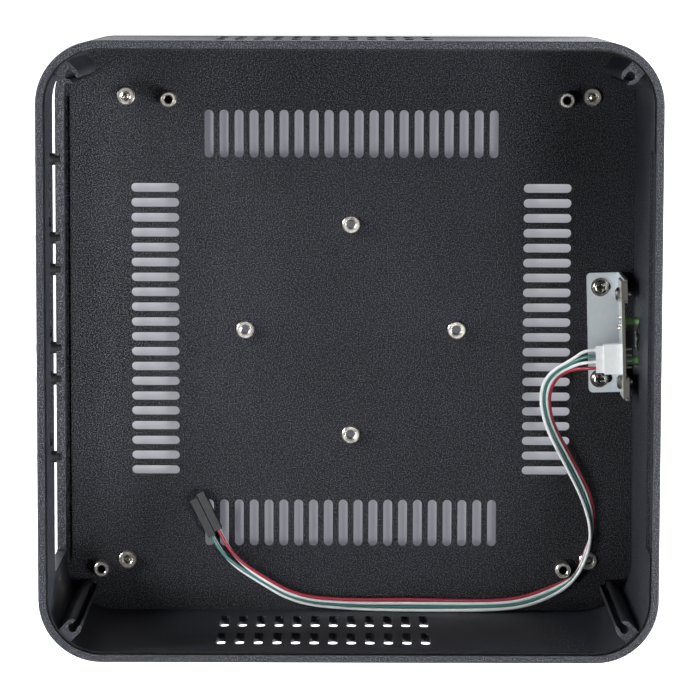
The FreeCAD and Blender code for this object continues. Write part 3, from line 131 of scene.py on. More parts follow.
# %% Lay the four wires
WIRE_DIAMETER = 1.1 * MM
POINT_RADIUS = 1.0 * MM
WIRE_ORDER = 3
ROUND_STEPS = 4
LENGTH_STEPS = 10
WIRE_FACTS = {
    "wire_white_outer_jacket": dict(length=0.2299, slot="wire_white",
                                    pieces=["lead_housing_b", "cable_plug"]),
    "wire_green_jacket": dict(length=0.2271, slot="wire_green", pieces=["lead_housing_b"]),
    "wire_white_inner_jacket": dict(length=0.2247, slot="wire_white", pieces=["lead_housing_a"]),
    "wire_red_jacket": dict(length=0.2228, slot="wire_red", pieces=["lead_housing_a"]),
}


def lay_wire(name, route):
    """A round tube along a smooth curve: each place on it is a weighted mean of three points."""
    curve = bpy.data.curves.new(name, "CURVE")
    curve.dimensions = "3D"
    curve.bevel_depth = WIRE_DIAMETER / 2 / POINT_RADIUS
    curve.bevel_resolution = ROUND_STEPS
    curve.resolution_u = LENGTH_STEPS
    curve.use_fill_caps = True
    spline = curve.splines.new("NURBS")
    spline.points.add(len(route) - 1)
    for point, place in zip(spline.points, route):
        point.co = (*(value * MM for value in place), 1.0)
        point.radius = POINT_RADIUS
    spline.order_u = WIRE_ORDER
    spline.use_endpoint_u = True
    spline.use_smooth = True
    return put_object(name, curve)


for name, route in WIRE_ROUTES.items():
    facts = WIRE_FACTS[name]
    wire = lay_wire(name, route)
    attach(wire, "case")
    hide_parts(name.replace("_jacket", ""))
    print(name, "length in mm:", round(facts["length"] / MM, 1))

# %% [markdown]
# Pan screws with a cross recess
#
# The two screws of the bracket are the fasteners that are looked at most, and a head turned from
# four lines looks like a coin. The surface below is one grid of rings and angles. Its height over
# the head is a flat dome, and a cross is pressed into it where the distance to either axis is
# small. The screws keep the size and the place of the solids they stand for. All sizes are in
# millimetres.

# %% Shape of one pan screw
SCREW_SPOTS = [(-15.98, -83.655), (14.72, -83.655)]
HEAD_RADIUS, HEAD_FOOT, HEAD_EDGE, HEAD_TOP = 2.45, 9.6, 10.7, 11.5
THREAD_RADIUS, THREAD_END = 1.2, 6.0
CROSS_REACH, CROSS_ARM, CROSS_DEEP, CROSS_SLOPE = 1.45, 0.36, 0.95, 0.14
DOME_RINGS, SCREW_SIDES, DOME_POWER = 40, 96, 4


def near_zero(distance, limit, slope):
    """One where a distance is inside the limit, nought outside, with an even slope between."""
    return np.clip((limit - np.abs(distance)) / slope + 0.5, 0.0, 1.0)


def pressed_cross(x, y):
    """One inside either arm of the cross, nought outside: the larger of the two arms' masks."""
    one_arm = near_zero(x, CROSS_ARM, CROSS_SLOPE) * near_zero(y, CROSS_REACH, CROSS_SLOPE)
    other_arm = near_zero(y, CROSS_ARM, CROSS_SLOPE) * near_zero(x, CROSS_REACH, CROSS_SLOPE)
    return np.maximum(one_arm, other_arm)


def screw_rings():
    """Grid of places x, y, z and the cross's mask, from the middle of the head to the thread's end.

    Over the head the height is that of its edge, plus the dome times one minus the fourth power of
    radius over head radius, minus the cross's depth times its mask.
    """
    dome_radii = np.linspace(0, HEAD_RADIUS, DOME_RINGS + 1)[1:]
    radii = np.concatenate([dome_radii, [HEAD_RADIUS, THREAD_RADIUS, THREAD_RADIUS]])
    levels = np.concatenate([np.full(DOME_RINGS, HEAD_EDGE), [HEAD_FOOT, HEAD_FOOT, THREAD_END]])
    angles = np.linspace(0, 2 * np.pi, SCREW_SIDES, endpoint=False)
    x = radii[:, None] * np.cos(angles)
    y = radii[:, None] * np.sin(angles)
    z = np.repeat(levels[:, None], SCREW_SIDES, axis=1)
    cross = pressed_cross(x, y)
    cross[DOME_RINGS:] = 0
    bulge = (HEAD_TOP - HEAD_EDGE) * (1 - (dome_radii / HEAD_RADIUS) ** DOME_POWER)
    z[:DOME_RINGS] += bulge[:, None] - CROSS_DEEP * cross[:DOME_RINGS]
    return x, y, z, cross


print("screw height in mm:", round(HEAD_TOP - THREAD_END, 2))

# %% [markdown]
# The grid becomes faces: a quad between each two rings, and a fan of triangles at each end, round a
# single point, so that the surface is closed. The mask of the cross goes onto the mesh as an
# attribute, for the finish to read later.

# %% Turn both pan screws
SHARP_TURN = math.radians(40)


def screw_surface(spot, first_index):
    """Points in metres, faces and painted values of the screw that stands at a spot."""
    x, y, z, cross = screw_rings()
    ring_points = np.stack([x + spot[0], y + spot[1], z], axis=-1).reshape(-1, 3)
    ends = np.array([(*spot, HEAD_TOP - CROSS_DEEP), (*spot, THREAD_END)])
    grid = np.arange(z.size).reshape(z.shape)
    after = np.roll(grid, -1, axis=1)
    quads = np.stack([grid[:-1], grid[1:], after[1:], after[:-1]], axis=-1).reshape(-1, 4)
    head_fan = np.stack([np.full(SCREW_SIDES, z.size), grid[0], after[0]], axis=-1)
    end_fan = np.stack([np.full(SCREW_SIDES, z.size + 1), after[-1], grid[-1]], axis=-1)
    faces = [*(quads + first_index).tolist(),
             *(np.concatenate([head_fan, end_fan]) + first_index).tolist()]
    return np.concatenate([ring_points, ends]) * MM, faces, np.append(cross.ravel(), [1.0, 0.0])


def make_pan_screws():
    """Both screws as one piece, with the mask of the cross painted on as an attribute."""
    points, faces, painted = np.zeros((0, 3)), [], np.zeros(0)
    for spot in SCREW_SPOTS:
        more_points, more_faces, more_painted = screw_surface(spot, len(points))
        points = np.concatenate([points, more_points])
        faces += more_faces
        painted = np.concatenate([painted, more_painted])
    mesh = bpy.data.meshes.new("pan_screws")
    mesh.from_pydata(points.tolist(), [], faces)
    mesh.attributes.new("recess", "FLOAT", "POINT").data.foreach_set("value", painted)
    mesh.shade_smooth()
    mesh.set_sharp_from_angle(angle=SHARP_TURN)
    return put_object("pan_screws", mesh)


pan_screws = make_pan_screws()
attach(pan_screws, "case")
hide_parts("bracket_screws")
print("pan screws, faces:", len(pan_screws.data.polygons))

# %% [markdown]
# Helpers for node trees
#
# Every node tree below is made with the same few moves: add a node, do a sum, stretch a span of
# values, blend two colours. Four small functions make them, so that the later cells say what a
# finish is and not how each link is drawn. A spot is a node's place in the editor and changes
# nothing else.

# %% Four small helpers
WHOLE = (0.0, 1.0)


def add_node(tree, kind, spot=(0, 0), **inputs):
    """New node with the values of its named inputs."""
    node = tree.nodes.new(kind)
    node.location = spot
    for key, value in inputs.items():
        node.inputs[key.replace("_", " ")].default_value = value
    return node


def join(tree, operation, first, second=None, spot=(0, 0)):
    """Math node over a socket and, where it needs one, a second socket or a plain number."""
    node = add_node(tree, "ShaderNodeMath", spot)
    node.operation = operation
    tree.links.new(first, node.inputs[0])
    if isinstance(second, float):
        node.inputs[1].default_value = second
    elif second is not None:
        tree.links.new(second, node.inputs[1])
    return node.outputs[0]


def spread(tree, value, span, result=WHOLE, spot=(0, 0)):
    """Map Range node: a span of values becomes the span of the result, evenly, and no further."""
    node = add_node(tree, "ShaderNodeMapRange", spot, From_Min=span[0], From_Max=span[1],
                    To_Min=result[0], To_Max=result[1])
    tree.links.new(value, node.inputs["Value"])
    return node.outputs["Result"]


def blend_colour(tree, factor, first, second, spot=(0, 0)):
    """Blend of two colours by a factor socket; each colour is a socket or a plain value."""
    mix = tree.nodes.new("ShaderNodeMix")
    mix.data_type = "RGBA"
    mix.location = spot
    tree.links.new(factor, mix.inputs[0])
    for socket, colour in ((mix.inputs[6], first), (mix.inputs[7], second)):
        if isinstance(colour, tuple):
            socket.default_value = colour
        else:
            tree.links.new(colour, socket)
    return mix.outputs[2]


print("helpers:", [helper.__name__ for helper in (add_node, join, spread, blend_colour)])

# %% [markdown]
# The floor
#
# A white product picture is mostly its floor. This one is pale and matt, and it adds a little light
# of its own that only the camera, reflections and clear plastic see, so it doesn't light the case.
# Around the case the glow lifts the paint to white. Under the case, paint and glow are darkened into
# a painted shadow of the case: a dim lavender, dimmest in the middle, which is what the slots and
# holes of the floor plate show.

# %% Pale floor
FLOOR_HALF = 1.6
FLOOR_ROUGH, FLOOR_SPECULAR = 0.9, 0.1
PAINT_OPEN = (0.80, 0.80, 0.82, 1)
# Under the case the paint is darker and the glow weaker: a painted shadow of the case, darkest in
# the middle.
PAINT_IN_SHADOW = (0.30, 0.30, 0.32, 1)
SHADOW_GLOW_MIDDLE = (0.125, 0.125, 0.148, 1)
SHADOW_GLOW_SIDES = (0.290, 0.290, 0.322, 1)
GLOW_OPEN = (0.76, 0.76, 0.78, 1)
MIRRORED_GLOW = 0.2
CASE_EDGES = (0.091, 0.099)
MIDDLE_EDGES = (0.047, 0.057)


def glow_strength(tree):
    """Full for the camera and for rays through clear plastic, weak in reflections, else none."""
    paths = add_node(tree, "ShaderNodeLightPath", (-900, -300))
    mirrored = join(tree, "MULTIPLY", paths.outputs["Is Glossy Ray"], MIRRORED_GLOW, (-800, -400))
    seen = join(tree, "MAXIMUM", paths.outputs["Is Camera Ray"], mirrored, (-700, -300))
    return join(tree, "MAXIMUM", seen, paths.outputs["Is Transmission Ray"], (-500, -300))


def floor_finish():
    """Matt paint and a glow, each blended by the place on the floor, with a painted shadow under the
    case.

    A place is under the case where the larger of |x| and |y| is below CASE_EDGES, and it is in the
    middle of the case where |y| is below MIDDLE_EDGES.
    """
    material = bpy.data.materials.new("pale floor")
    material.use_nodes = True
    tree = material.node_tree
    shader = tree.nodes["Principled BSDF"]
    shader.inputs["Roughness"].default_value = FLOOR_ROUGH
    shader.inputs["Specular IOR Level"].default_value = FLOOR_SPECULAR
    tree.links.new(glow_strength(tree), shader.inputs["Emission Strength"])
    place = add_node(tree, "ShaderNodeTexCoord", (-1300, 100))
    split = add_node(tree, "ShaderNodeSeparateXYZ", (-1100, 100))
    tree.links.new(place.outputs["Object"], split.inputs["Vector"])
    across = join(tree, "ABSOLUTE", split.outputs["X"], spot=(-900, 200))
    along = join(tree, "ABSOLUTE", split.outputs["Y"], spot=(-900, 0))
    reach = join(tree, "MAXIMUM", across, along, (-700, 100))
    sides = spread(tree, along, MIDDLE_EDGES, spot=(-500, 300))
    outside = spread(tree, reach, CASE_EDGES, spot=(-500, 50))
    # Painted shadow: the glow is weaker under the case, and weakest in the middle.
    shadow_glow = blend_colour(tree, sides, SHADOW_GLOW_MIDDLE, SHADOW_GLOW_SIDES, (-300, 250))
    glow = blend_colour(tree, outside, shadow_glow, GLOW_OPEN, (-100, 0))
    paint = blend_colour(tree, outside, PAINT_IN_SHADOW, PAINT_OPEN, (-100, 300))
    tree.links.new(paint, shader.inputs["Base Color"])
    tree.links.new(glow, shader.inputs["Emission Color"])
    return material


def make_floor():
    """One flat square whose corners are FLOOR_HALF from the middle each way."""
    corners = FLOOR_HALF * np.array([(-1, -1, 0), (1, -1, 0), (1, 1, 0), (-1, 1, 0)])
    mesh = bpy.data.meshes.new("floor")
    mesh.from_pydata(corners.tolist(), [], [(0, 1, 2, 3)])
    mesh.materials.append(floor_finish())
    return put_object("floor", mesh)


floor = make_floor()
print("floor side in m:", FLOOR_HALF * 2)

# %% [markdown]
# The lamps
#
# Six square soft boxes stand in two groups of three, right and left of the case. In each group two
# hang high, and the third stands low and far out, so that it shines across the rim and draws its
# bright edge. Several boxes are used and not one, so that the floor, the walls and the rim can each
# be set by a lamp of their own. A weak even light from the whole room fills what the boxes leave
# dark.

# %% Soft boxes and the room
LAMPS = {
    "right_near": dict(spot=(-0.48, -0.60, 1.25), side=0.30, power=4.5),
    "right_middle": dict(spot=(-0.12, -0.60, 1.25), side=0.30, power=11.0),
    "right_low": dict(spot=(-0.50, -1.22, 0.66), side=0.30, power=42.0),
    "left_near": dict(spot=(-0.55, 0.90, 1.25), side=0.36, power=6.0),
    "left_middle": dict(spot=(-0.14, 0.70, 1.25), side=0.30, power=10.5),
    "left_low": dict(spot=(0.50, 1.35, 0.36), side=0.50, power=30.0),
}
LAMP_TARGET = (0, 0, 0.05)
ROOM_LIGHT = 0.08
ROOM_COLOUR = (0.97, 0.98, 1.0, 1)


def hang_lamp(name, spot, side, power):
    """Square soft box at a spot, turned so that its -Z points at the target."""
    data = bpy.data.lights.new(name, "AREA")
    data.shape = "SQUARE"
    data.size = side
    data.energy = power
    lamp = put_object(name, data)
    lamp.location = spot
    direction = [end - start for start, end in zip(spot, LAMP_TARGET)]
    lamp.rotation_euler = Vector(direction).to_track_quat("-Z", "Y").to_euler()


for name, facts in LAMPS.items():
    hang_lamp(name, **facts)

world = bpy.data.worlds.new("room")
bpy.context.scene.world = world
world.use_nodes = True
background = world.node_tree.nodes["Background"]
background.inputs["Color"].default_value = ROOM_COLOUR
background.inputs["Strength"].default_value = ROOM_LIGHT
print("lamps:", list(LAMPS))

# %% [markdown]
# Shared effects as node groups
#
# Several finishes share the same small effects: the sand grain of powder coat, the faint cloud of
# plating and plastic, and masks that pick out one part of a piece. Each is one node group with
# named inputs, built once. A group gives only colours, roughness, height or a mask. The shader
# itself stays in the material, where the export can read it.

# %% A kit for node groups
SURFACE = [("Color", "Color"), ("Roughness", "Float"), ("Height", "Float")]
MASK = [("Mask", "Float")]
GROUPS = {}


def new_group(name, inputs, outputs):
    """Empty group with sockets for (name, kind, value) inputs and (name, kind) outputs."""
    group = bpy.data.node_groups.new(name, "ShaderNodeTree")
    for label, kind, value in inputs:
        socket = group.interface.new_socket(label, in_out="INPUT", socket_type="NodeSocket" + kind)
        socket.default_value = value
    for label, kind in outputs:
        group.interface.new_socket(label, in_out="OUTPUT", socket_type="NodeSocket" + kind)
    entry = add_node(group, "NodeGroupInput", (-900, 0))
    leave = add_node(group, "NodeGroupOutput", (700, 0))
    return group, entry, leave


def add_noise(group, scale, spot, **inputs):
    """Noise on Object coordinates; its scale is a plain number or a socket."""
    noise = add_node(group, "ShaderNodeTexNoise", spot, **inputs)
    place = add_node(group, "ShaderNodeTexCoord", (spot[0] - 200, spot[1]))
    group.links.new(place.outputs["Object"], noise.inputs["Vector"])
    if isinstance(scale, float):
        noise.inputs["Scale"].default_value = scale
    else:
        group.links.new(scale, noise.inputs["Scale"])
    return noise.outputs["Fac"]


def give_surface(group, leave, colour, rough, height):
    """Links the three outputs that a finish needs."""
    group.links.new(colour, leave.inputs["Color"])
    group.links.new(rough, leave.inputs["Roughness"])
    group.links.new(height, leave.inputs["Height"])


print("outputs of a finish:", [label for label, kind in SURFACE])

# %% [markdown]
# Sand grain
#
# Powder coat with a sand texture is a field of tiny light and dark specks. Fine noise with a steep
# span makes the specks, broad noise shifts their tone slowly over the sheet, and the same fine
# noise gives the roughness and the height.

# %% Sand grain of powder coat
SPECK_SPAN = (0.50, 0.63)
TONE_SCALE, TONE_SPAN, TONE_SHIFT = 28.0, (0.3, 0.7), (-0.04, 0.04)
GRAIN_SPAN, GRAIN_ROUGHNESS = (0.35, 0.65), (-0.06, 0.10)


def sand_group():
    """Colour by specks of fine noise plus a shift of tone by broad noise."""
    group, entry, leave = new_group(
        "sand grain",
        [("Dark", "Color", (0.02, 0.02, 0.023, 1)), ("Light", "Color", (0.06, 0.06, 0.07, 1)),
         ("Scale", "Float", 2300.0), ("Rough", "Float", 0.45)], SURFACE)
    fine = add_noise(group, entry.outputs["Scale"], (-600, 200), Detail=2.5, Roughness=0.65)
    broad = add_noise(group, TONE_SCALE, (-600, -100), Detail=3.0)
    speck = spread(group, fine, SPECK_SPAN, spot=(-350, 200))
    tone = spread(group, broad, TONE_SPAN, TONE_SHIFT, (-350, -100))
    level = join(group, "ADD", speck, tone, (-120, 100))
    level.node.use_clamp = True
    colour = blend_colour(group, level, entry.outputs["Dark"], entry.outputs["Light"], (150, 200))
    change = spread(group, fine, GRAIN_SPAN, GRAIN_ROUGHNESS, (-100, -200))
    rough = join(group, "ADD", entry.outputs["Rough"], change, (150, -100))
    give_surface(group, leave, colour, rough, fine)
    return group


GROUPS["sand"] = sand_group()
print("sand grain, nodes:", len(GROUPS["sand"].nodes))

# %% [markdown]
# Cloud
#
# Plating, nylon and rubber are never quite one tone. Broad noise blends a clean colour with a dull
# one and makes the dull places rougher, and a very fine noise gives the height.

# %% Cloud of plating and plastic
STAIN_SPAN = (0.35, 0.65)
DULL_SPAN, DULL_ROUGHNESS = (0.3, 0.7), (-0.05, 0.12)
HANDLING_SCALE = 5200.0


def cloud_group():
    """Two noises: one broad for stains and roughness, one fine for the marks of handling."""
    group, entry, leave = new_group(
        "plated cloud",
        [("Clean", "Color", (0.7, 0.7, 0.7, 1)), ("Dull", "Color", (0.5, 0.5, 0.5, 1)),
         ("Scale", "Float", 400.0), ("Rough", "Float", 0.25)], SURFACE)
    broad = add_noise(group, entry.outputs["Scale"], (-600, 200), Detail=4.0, Roughness=0.6)
    fine = add_noise(group, HANDLING_SCALE, (-600, -100), Detail=2.0)
    stain = spread(group, broad, STAIN_SPAN, spot=(-350, 200))
    colour = blend_colour(group, stain, entry.outputs["Clean"], entry.outputs["Dull"], (150, 200))
    change = spread(group, broad, DULL_SPAN, DULL_ROUGHNESS, (-100, -100))
    rough = join(group, "ADD", entry.outputs["Rough"], change, (150, -100))
    give_surface(group, leave, colour, rough, fine)
    return group


GROUPS["cloud"] = cloud_group()
print("plated cloud, nodes:", len(GROUPS["cloud"].nodes))

# %% [markdown]
# Mask of cut and shaded edges
#
# The board's cut edge has a darker colour of its own, and the thin edges of the bracket's ears get
# painted shade, as they face the dark case. On the bracket and the board those edges look up, down
# or along X, so the mask takes the faces whose normal points that way, above a given height.

# %% Mask of cut and shaded edges
FACING_SPAN = (0.6, 0.9)


def edge_group():
    """The larger of the normal's |x| and |z|, times one above the height and nought below it."""
    group, entry, leave = new_group("cut and shaded edge", [("Above", "Float", 0.0)], MASK)
    place = add_node(group, "ShaderNodeTexCoord", (-800, 0))
    facing = add_node(group, "ShaderNodeSeparateXYZ", (-600, 200))
    group.links.new(place.outputs["Normal"], facing.inputs["Vector"])
    height = add_node(group, "ShaderNodeSeparateXYZ", (-600, -100))
    group.links.new(place.outputs["Object"], height.inputs["Vector"])
    upward = join(group, "ABSOLUTE", facing.outputs["Z"], spot=(-400, 300))
    sideways = join(group, "ABSOLUTE", facing.outputs["X"], spot=(-400, 100))
    flat = join(group, "MAXIMUM", upward, sideways, (-200, 200))
    flat = spread(group, flat, FACING_SPAN, spot=(-50, 200))
    high = join(group, "GREATER_THAN", height.outputs["Z"], entry.outputs["Above"], (-400, -100))
    group.links.new(join(group, "MULTIPLY", flat, high, (100, 0)), leave.inputs["Mask"])
    return group


GROUPS["edge"] = edge_group()
print("cut and shaded edge, nodes:", len(GROUPS["edge"].nodes))

# %% [markdown]
# Mask of the painted shade in the bores
#
# The blind bores of the four standoffs are painted black down to their bottom, as the shade in them.
# The mask is one where a place, seen from above, is nearer to one of the centres than the radius of
# a bore. The centres are in millimetres, as in the solids.

# %% Mask of the painted shade in the standoffs' bores
STANDOFFS = [(77.04, 60.18), (77.04, -71.90), (-80.44, 83.04), (-80.44, -71.90)]
SEEN_FROM_ABOVE = (1, 1, 0)


def bore_shade_group(count):
    """One where the least of the flat distances to the centres is below the radius."""
    labels = ["Centre " + str(index) for index in range(count)]
    centres = [(label, "Vector", (0, 0, 0)) for label in labels]
    group, entry, leave = new_group("bores", [("Radius", "Float", 0.001)] + centres, MASK)
    place = add_node(group, "ShaderNodeTexCoord", (-900, 200))
    flat = add_node(group, "ShaderNodeVectorMath", (-700, 200))
    flat.operation = "MULTIPLY"
    flat.inputs[1].default_value = SEEN_FROM_ABOVE
    group.links.new(place.outputs["Object"], flat.inputs[0])
    nearest = None
    for row, label in enumerate(labels):
        gap = add_node(group, "ShaderNodeVectorMath", (-500, 300 - 150 * row))
        gap.operation = "DISTANCE"
        group.links.new(flat.outputs["Vector"], gap.inputs[0])
        group.links.new(entry.outputs[label], gap.inputs[1])
        value = gap.outputs["Value"]
        spot = (-300, 200 - 150 * row)
        nearest = value if nearest is None else join(group, "MINIMUM", nearest, value, spot)
    inside = join(group, "LESS_THAN", nearest, entry.outputs["Radius"], (200, 0))
    group.links.new(inside, leave.inputs["Mask"])
    return group


GROUPS["bores"] = bore_shade_group(len(STANDOFFS))
print("bores, centres:", len(STANDOFFS))

# %% [markdown]
# Mask of the pressed cross
#
# The recess of a screw holds shade. The cell that turned the screws painted the cross on their mesh
# as an attribute, and this mask reads it, so the shade sits exactly where the cross is pressed.

# %% Mask of the pressed cross


def recess_group():
    """The painted value times a weight."""
    group, entry, leave = new_group("pressed cross", [("Weight", "Float", 1.0)], MASK)
    painted = add_node(group, "ShaderNodeAttribute", (-400, 0))
    painted.attribute_name = "recess"
    shade = join(group, "MULTIPLY", painted.outputs["Fac"], entry.outputs["Weight"])
    group.links.new(shade, leave.inputs["Mask"])
    return group


GROUPS["recess"] = recess_group()
print("pressed cross reads the attribute: recess")

# %% [markdown]
# Mask of the painted shade line on the rim
#
# A thin line of painted shade runs round the rim, in the corner where its outer lip meets the seat
# behind it. The mask is a band between two distances in from the outside, above a height, and it
# turns the rounded corners as the rim does.

# %% Mask of the painted shade line on the rim


def rim_shade_group():
    """One where the distance inwards is between From and To, above a height.

    The distance inwards is the corner radius less the length of what |x| and |y| have beyond the
    straight part of the side.
    """
    group, entry, leave = new_group(
        "rim shade line",
        [("Straight", "Float", 0.078), ("Corner", "Float", 0.02), ("From", "Float", 0.0025),
         ("To", "Float", 0.003), ("Above", "Float", 0.08)], MASK)
    place = add_node(group, "ShaderNodeTexCoord", (-1100, 200))
    split = add_node(group, "ShaderNodeSeparateXYZ", (-900, 200))
    group.links.new(place.outputs["Object"], split.inputs["Vector"])
    squares = []
    for axis, level in (("X", 300), ("Y", 100)):
        size = join(group, "ABSOLUTE", split.outputs[axis], spot=(-700, level))
        beyond = join(group, "SUBTRACT", size, entry.outputs["Straight"], (-550, level))
        beyond = join(group, "MAXIMUM", beyond, 0.0, (-400, level))
        squares.append(join(group, "MULTIPLY", beyond, beyond, (-250, level)))
    total = join(group, "ADD", squares[0], squares[1], (-100, 200))
    reach = join(group, "SQRT", total, spot=(0, 200))
    inwards = join(group, "SUBTRACT", entry.outputs["Corner"], reach, (120, 200))
    after = join(group, "GREATER_THAN", inwards, entry.outputs["From"], (260, 300))
    before = join(group, "LESS_THAN", inwards, entry.outputs["To"], (260, 100))
    high = join(group, "GREATER_THAN", split.outputs["Z"], entry.outputs["Above"], (260, -100))
    band = join(group, "MULTIPLY", after, before, (400, 200))
    group.links.new(join(group, "MULTIPLY", band, high, (550, 100)), leave.inputs["Mask"])
    return group


GROUPS["rim"] = rim_shade_group()
print("groups:", [group.name for group in GROUPS.values()])

# %% [markdown]
# The finishes
#
# One function turns a shared effect into a material. The effect gives colour, roughness and height,
# and a mask may lay one more colour over a part of the piece. What is the same all over, such as
# metal and coat, goes straight onto the shader's own sockets.

# %% One function for every finish
MATERIALS = {}


def use_group(tree, label, values, spot):
    """Group node with its own values, in the order of the group's inputs."""
    node = add_node(tree, "ShaderNodeGroup", spot)
    node.node_tree = GROUPS[label]
    for socket, value in zip(node.inputs, values):
        socket.default_value = value
    return node


def finish(name, effect, colours, scale, rough, metal=0.0, bump=0.2, depth=0.02 * MM, coat=0.0,
           extra=None, mask=None):
    """Material whose colour, roughness and height come from a shared effect.

    Colours are (dark, light) for sand and (clean, dull) for cloud. The scale is that of the
    effect's main noise, and rough is the roughness that the effect varies. A mask is (group, values
    of its inputs, colour). Extra holds further sockets of the shader by name.
    """
    material = bpy.data.materials.new(name)
    material.use_nodes = True
    tree = material.node_tree
    shader = tree.nodes["Principled BSDF"]
    values = ((*colours[0], 1), (*colours[1], 1), scale, rough)
    surface = use_group(tree, effect, values, (-500, 200))
    relief = add_node(tree, "ShaderNodeBump", (-250, -200), Strength=bump, Distance=depth)
    colour = surface.outputs["Color"]
    if mask:
        label, mask_values, mask_colour = mask
        cover = use_group(tree, label, mask_values, (-500, 450))
        colour = blend_colour(tree, cover.outputs["Mask"], colour, (*mask_colour, 1), (-250, 350))
    tree.links.new(colour, shader.inputs["Base Color"])
    tree.links.new(surface.outputs["Roughness"], shader.inputs["Roughness"])
    tree.links.new(surface.outputs["Height"], relief.inputs["Height"])
    tree.links.new(relief.outputs["Normal"], shader.inputs["Normal"])
    plain = {"Metallic": metal, "Coat Weight": coat, **(extra or {})}
    for key, value in plain.items():
        shader.inputs[key].default_value = value
    MATERIALS[name] = material


print("effects to choose from:", list(GROUPS))

# %% [markdown]
# Powder coat
#
# The frame and its floor plate are powder coated in charcoal with a fine sand texture. Dark and
# light specks are far apart in tone, because the grain is about a pixel wide in the picture and
# much of the contrast is lost there. The bump is strong for the same reason, and the gloss is low.

# %% Frame coat and plate coat
SAND_GRAIN = 2500.0
RIM_STRAIGHT, RIM_CORNER, RIM_ABOVE = 78 * MM, 20 * MM, 83.5 * MM
LINE_FROM, LINE_TO = 2.46 * MM, 2.95 * MM
RIM_SHADE_LINE = [RIM_STRAIGHT, RIM_CORNER, LINE_FROM, LINE_TO, RIM_ABOVE]
# The rim line's colour is painted shade, in the corner where the lip meets the seat.
RIM_SHADE_COLOUR = (0.001, 0.001, 0.001)

# The frame coat carries the rim's thin line of painted shade.
finish("frame coat", "sand", ((0.004, 0.004, 0.006), (0.088, 0.092, 0.116)), scale=SAND_GRAIN,
       rough=0.36, bump=1.0, depth=0.38 * MM, extra={"Specular IOR Level": 0.23},
       mask=("rim", RIM_SHADE_LINE, RIM_SHADE_COLOUR))
finish("plate coat", "sand", ((0.001, 0.001, 0.002), (0.070, 0.073, 0.090)), scale=SAND_GRAIN,
       rough=0.38, bump=1.0, depth=0.50 * MM, extra={"Specular IOR Level": 0.19})
print("powder coats:", list(MATERIALS))

# %% [markdown]
# Metals
#
# Nuts, standoffs and legs are nickel plated, and screws are a darker, smoother nickel with shade in
# the cross. The bores of the standoffs are painted black as shade. The screws under and behind the
# case are blackened. The bracket is zinc plated sheet with a cool cast: half metal, because dull
# zinc scatters much of the light, and its thin edges above the bend are painted darker as shade,
# facing the dark case.

# %% Nickel, blackened steel and zinc
CROSS_SHADE, CROSS_COLOUR = 0.93, (0.02, 0.02, 0.02)
BORE_RADIUS = 1.3 * MM
SHADED_BORES = [BORE_RADIUS] + [(x * MM, y * MM, 0) for x, y in STANDOFFS]
# The bores' colour is painted shade, black down to the bottom of each bore.
BORE_SHADE_COLOUR = (0.004, 0.004, 0.004)
# The bracket's edge colour is painted shade on the edges above the bend, which face the dark case.
BRACKET_BEND, BRACKET_EDGE_SHADE_COLOUR = 12 * MM, (0.16, 0.155, 0.15)

finish("nickel", "cloud", ((0.80, 0.77, 0.72), (0.62, 0.60, 0.56)), scale=420.0, rough=0.26,
       metal=1.0, bump=0.1)
finish("dark nickel", "cloud", ((0.62, 0.59, 0.54), (0.42, 0.40, 0.36)), scale=500.0, rough=0.17,
       metal=1.0, bump=0.1, mask=("recess", [CROSS_SHADE], CROSS_COLOUR))
# Nickel with painted shade in the standoffs' bores.
finish("nickel with shaded bores", "cloud", ((0.78, 0.75, 0.69), (0.60, 0.58, 0.53)), scale=420.0, rough=0.27,
       metal=1.0, bump=0.1, mask=("bores", SHADED_BORES, BORE_SHADE_COLOUR))
finish("blackened", "cloud", ((0.010, 0.010, 0.012), (0.022, 0.022, 0.024)), scale=500.0,
       rough=0.30)
# Zinc, with painted shade on its edges above the bend.
finish("zinc", "cloud", ((0.57, 0.62, 0.65), (0.52, 0.57, 0.60)), scale=160.0, rough=0.46, metal=0.5,
       bump=0.12, mask=("edge", [BRACKET_BEND], BRACKET_EDGE_SHADE_COLOUR))
print("finishes so far:", len(MATERIALS))

# %% [markdown]
# Rubber, board and nylon
#
# The feet are matt rubber. The board is pale with a thin clear coat and a dull brown cut edge.
# Switch, button and lead housings are black nylon, the plug and its header are plain white nylon,
# and the pins and the switch's plate are pale tin.

# %% Rubber, board, nylon and tin
BOARD_EDGE_FROM, BOARD_EDGE_COLOUR = 0.0, (0.13, 0.125, 0.105)

finish("rubber", "cloud", ((0.022, 0.022, 0.022), (0.03, 0.03, 0.03)), scale=300.0, rough=0.7)
finish("board", "cloud", ((0.55, 0.60, 0.58), (0.46, 0.51, 0.49)), scale=700.0, rough=0.3, coat=0.4,
       mask=("edge", [BOARD_EDGE_FROM], BOARD_EDGE_COLOUR))
finish("black nylon", "cloud", ((0.009, 0.009, 0.012), (0.016, 0.016, 0.020)), scale=800.0,
       rough=0.42)
finish("tin", "cloud", ((0.88, 0.89, 0.90), (0.78, 0.79, 0.80)), scale=900.0, rough=0.36,
       metal=0.35)
finish("white nylon", "cloud", ((0.84, 0.86, 0.87), (0.78, 0.80, 0.81)), scale=500.0, rough=0.42)
print("finishes so far:", len(MATERIALS))

# %% [markdown]
# Jackets and lamps
#
# The wires' jackets are soft plastic with a faint gloss. The two lamps are green resin: some of the
# light goes through, the coat on top is glossy, and a coarse bump breaks up the reflections.

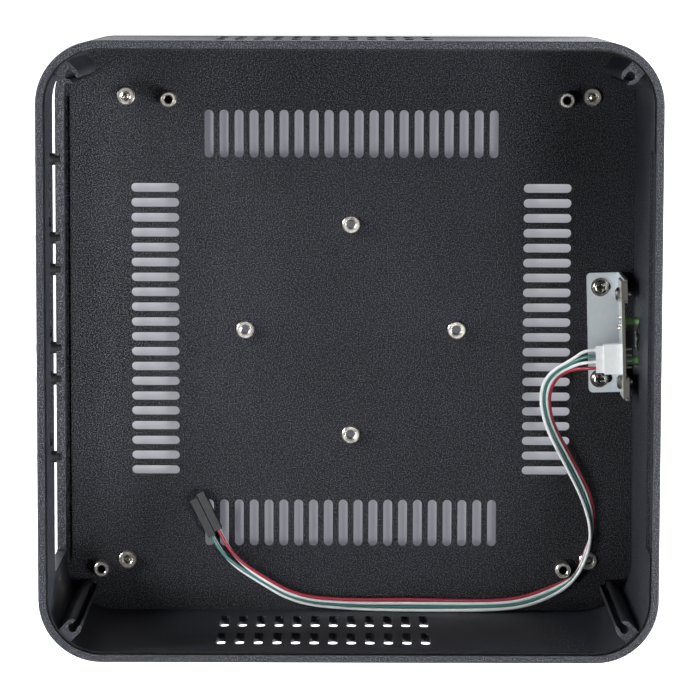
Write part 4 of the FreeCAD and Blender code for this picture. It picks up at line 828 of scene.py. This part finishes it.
# %% Jackets and resin
JACKET_CLOUD, JACKET_ROUGH, JACKET_COAT = 260.0, 0.3, 0.15
JACKETS = {
    "white jacket": ((0.72, 0.74, 0.74), (0.62, 0.65, 0.66)),
    "green jacket": ((0.040, 0.150, 0.135), (0.052, 0.180, 0.165)),
    "red jacket": ((0.33, 0.030, 0.048), (0.27, 0.022, 0.040)),
}
RESIN_CLEAR = {"Transmission Weight": 0.4, "IOR": 1.5}

for name, colours in JACKETS.items():
    finish(name, "cloud", colours, scale=JACKET_CLOUD, rough=JACKET_ROUGH, coat=JACKET_COAT)
finish("green resin", "cloud", ((0.60, 0.95, 0.45), (0.22, 0.66, 0.16)), scale=1500.0, rough=0.05,
       coat=1.0, bump=0.6, depth=0.2 * MM, extra=RESIN_CLEAR)
print("finishes:", len(MATERIALS))

# %% [markdown]
# Which piece wears which finish
#
# A list by finish is easier to check against the picture than a list by piece: "dark nickel" holds
# just the screws and washers that are seen from above. Each piece has one finish, which goes into
# all of its slots.

# %% Dress the pieces
PIECES = {
    "frame coat": ["frame_ring"],
    "plate coat": ["base_plate", "port_cover_1", "port_cover_2", "port_cover_3"],
    "nickel": ["foot_nuts", "centre_nuts", "lamp_legs", "switch_legs", "solder_joints"],
    "dark nickel": ["foot_screws", "pan_screws", "bracket_washers", "board_screws"],
    "nickel with shaded bores": ["board_standoffs"],
    "blackened": ["base_screws", "port_screws", "port_nuts"],
    "zinc": ["switch_bracket"],
    "rubber": ["foot_front_left", "foot_front_right", "foot_rear_left", "foot_rear_right"],
    "board": ["switch_board"],
    "black nylon": ["switch_body", "power_button", "lead_housing_a", "lead_housing_b"],
    "tin": ["switch_plate", "switch_stem", "header_pins"],
    "white nylon": ["board_header", "cable_plug"],
    "green resin": ["power_lamp", "drive_lamp"],
    "white jacket": ["wire_white_outer_jacket", "wire_white_inner_jacket"],
    "green jacket": ["wire_green_jacket"],
    "red jacket": ["wire_red_jacket"],
}


def coat_piece(name, material):
    """Put a material in every slot of a piece."""
    data = bpy.data.objects[name].data
    if not data.materials:
        data.materials.append(material)
    for index in range(len(data.materials)):
        data.materials[index] = material


for label, names in PIECES.items():
    for name in names:
        coat_piece(name, MATERIALS[label])
print("pieces with a finish:", sum(len(names) for names in PIECES.values()))
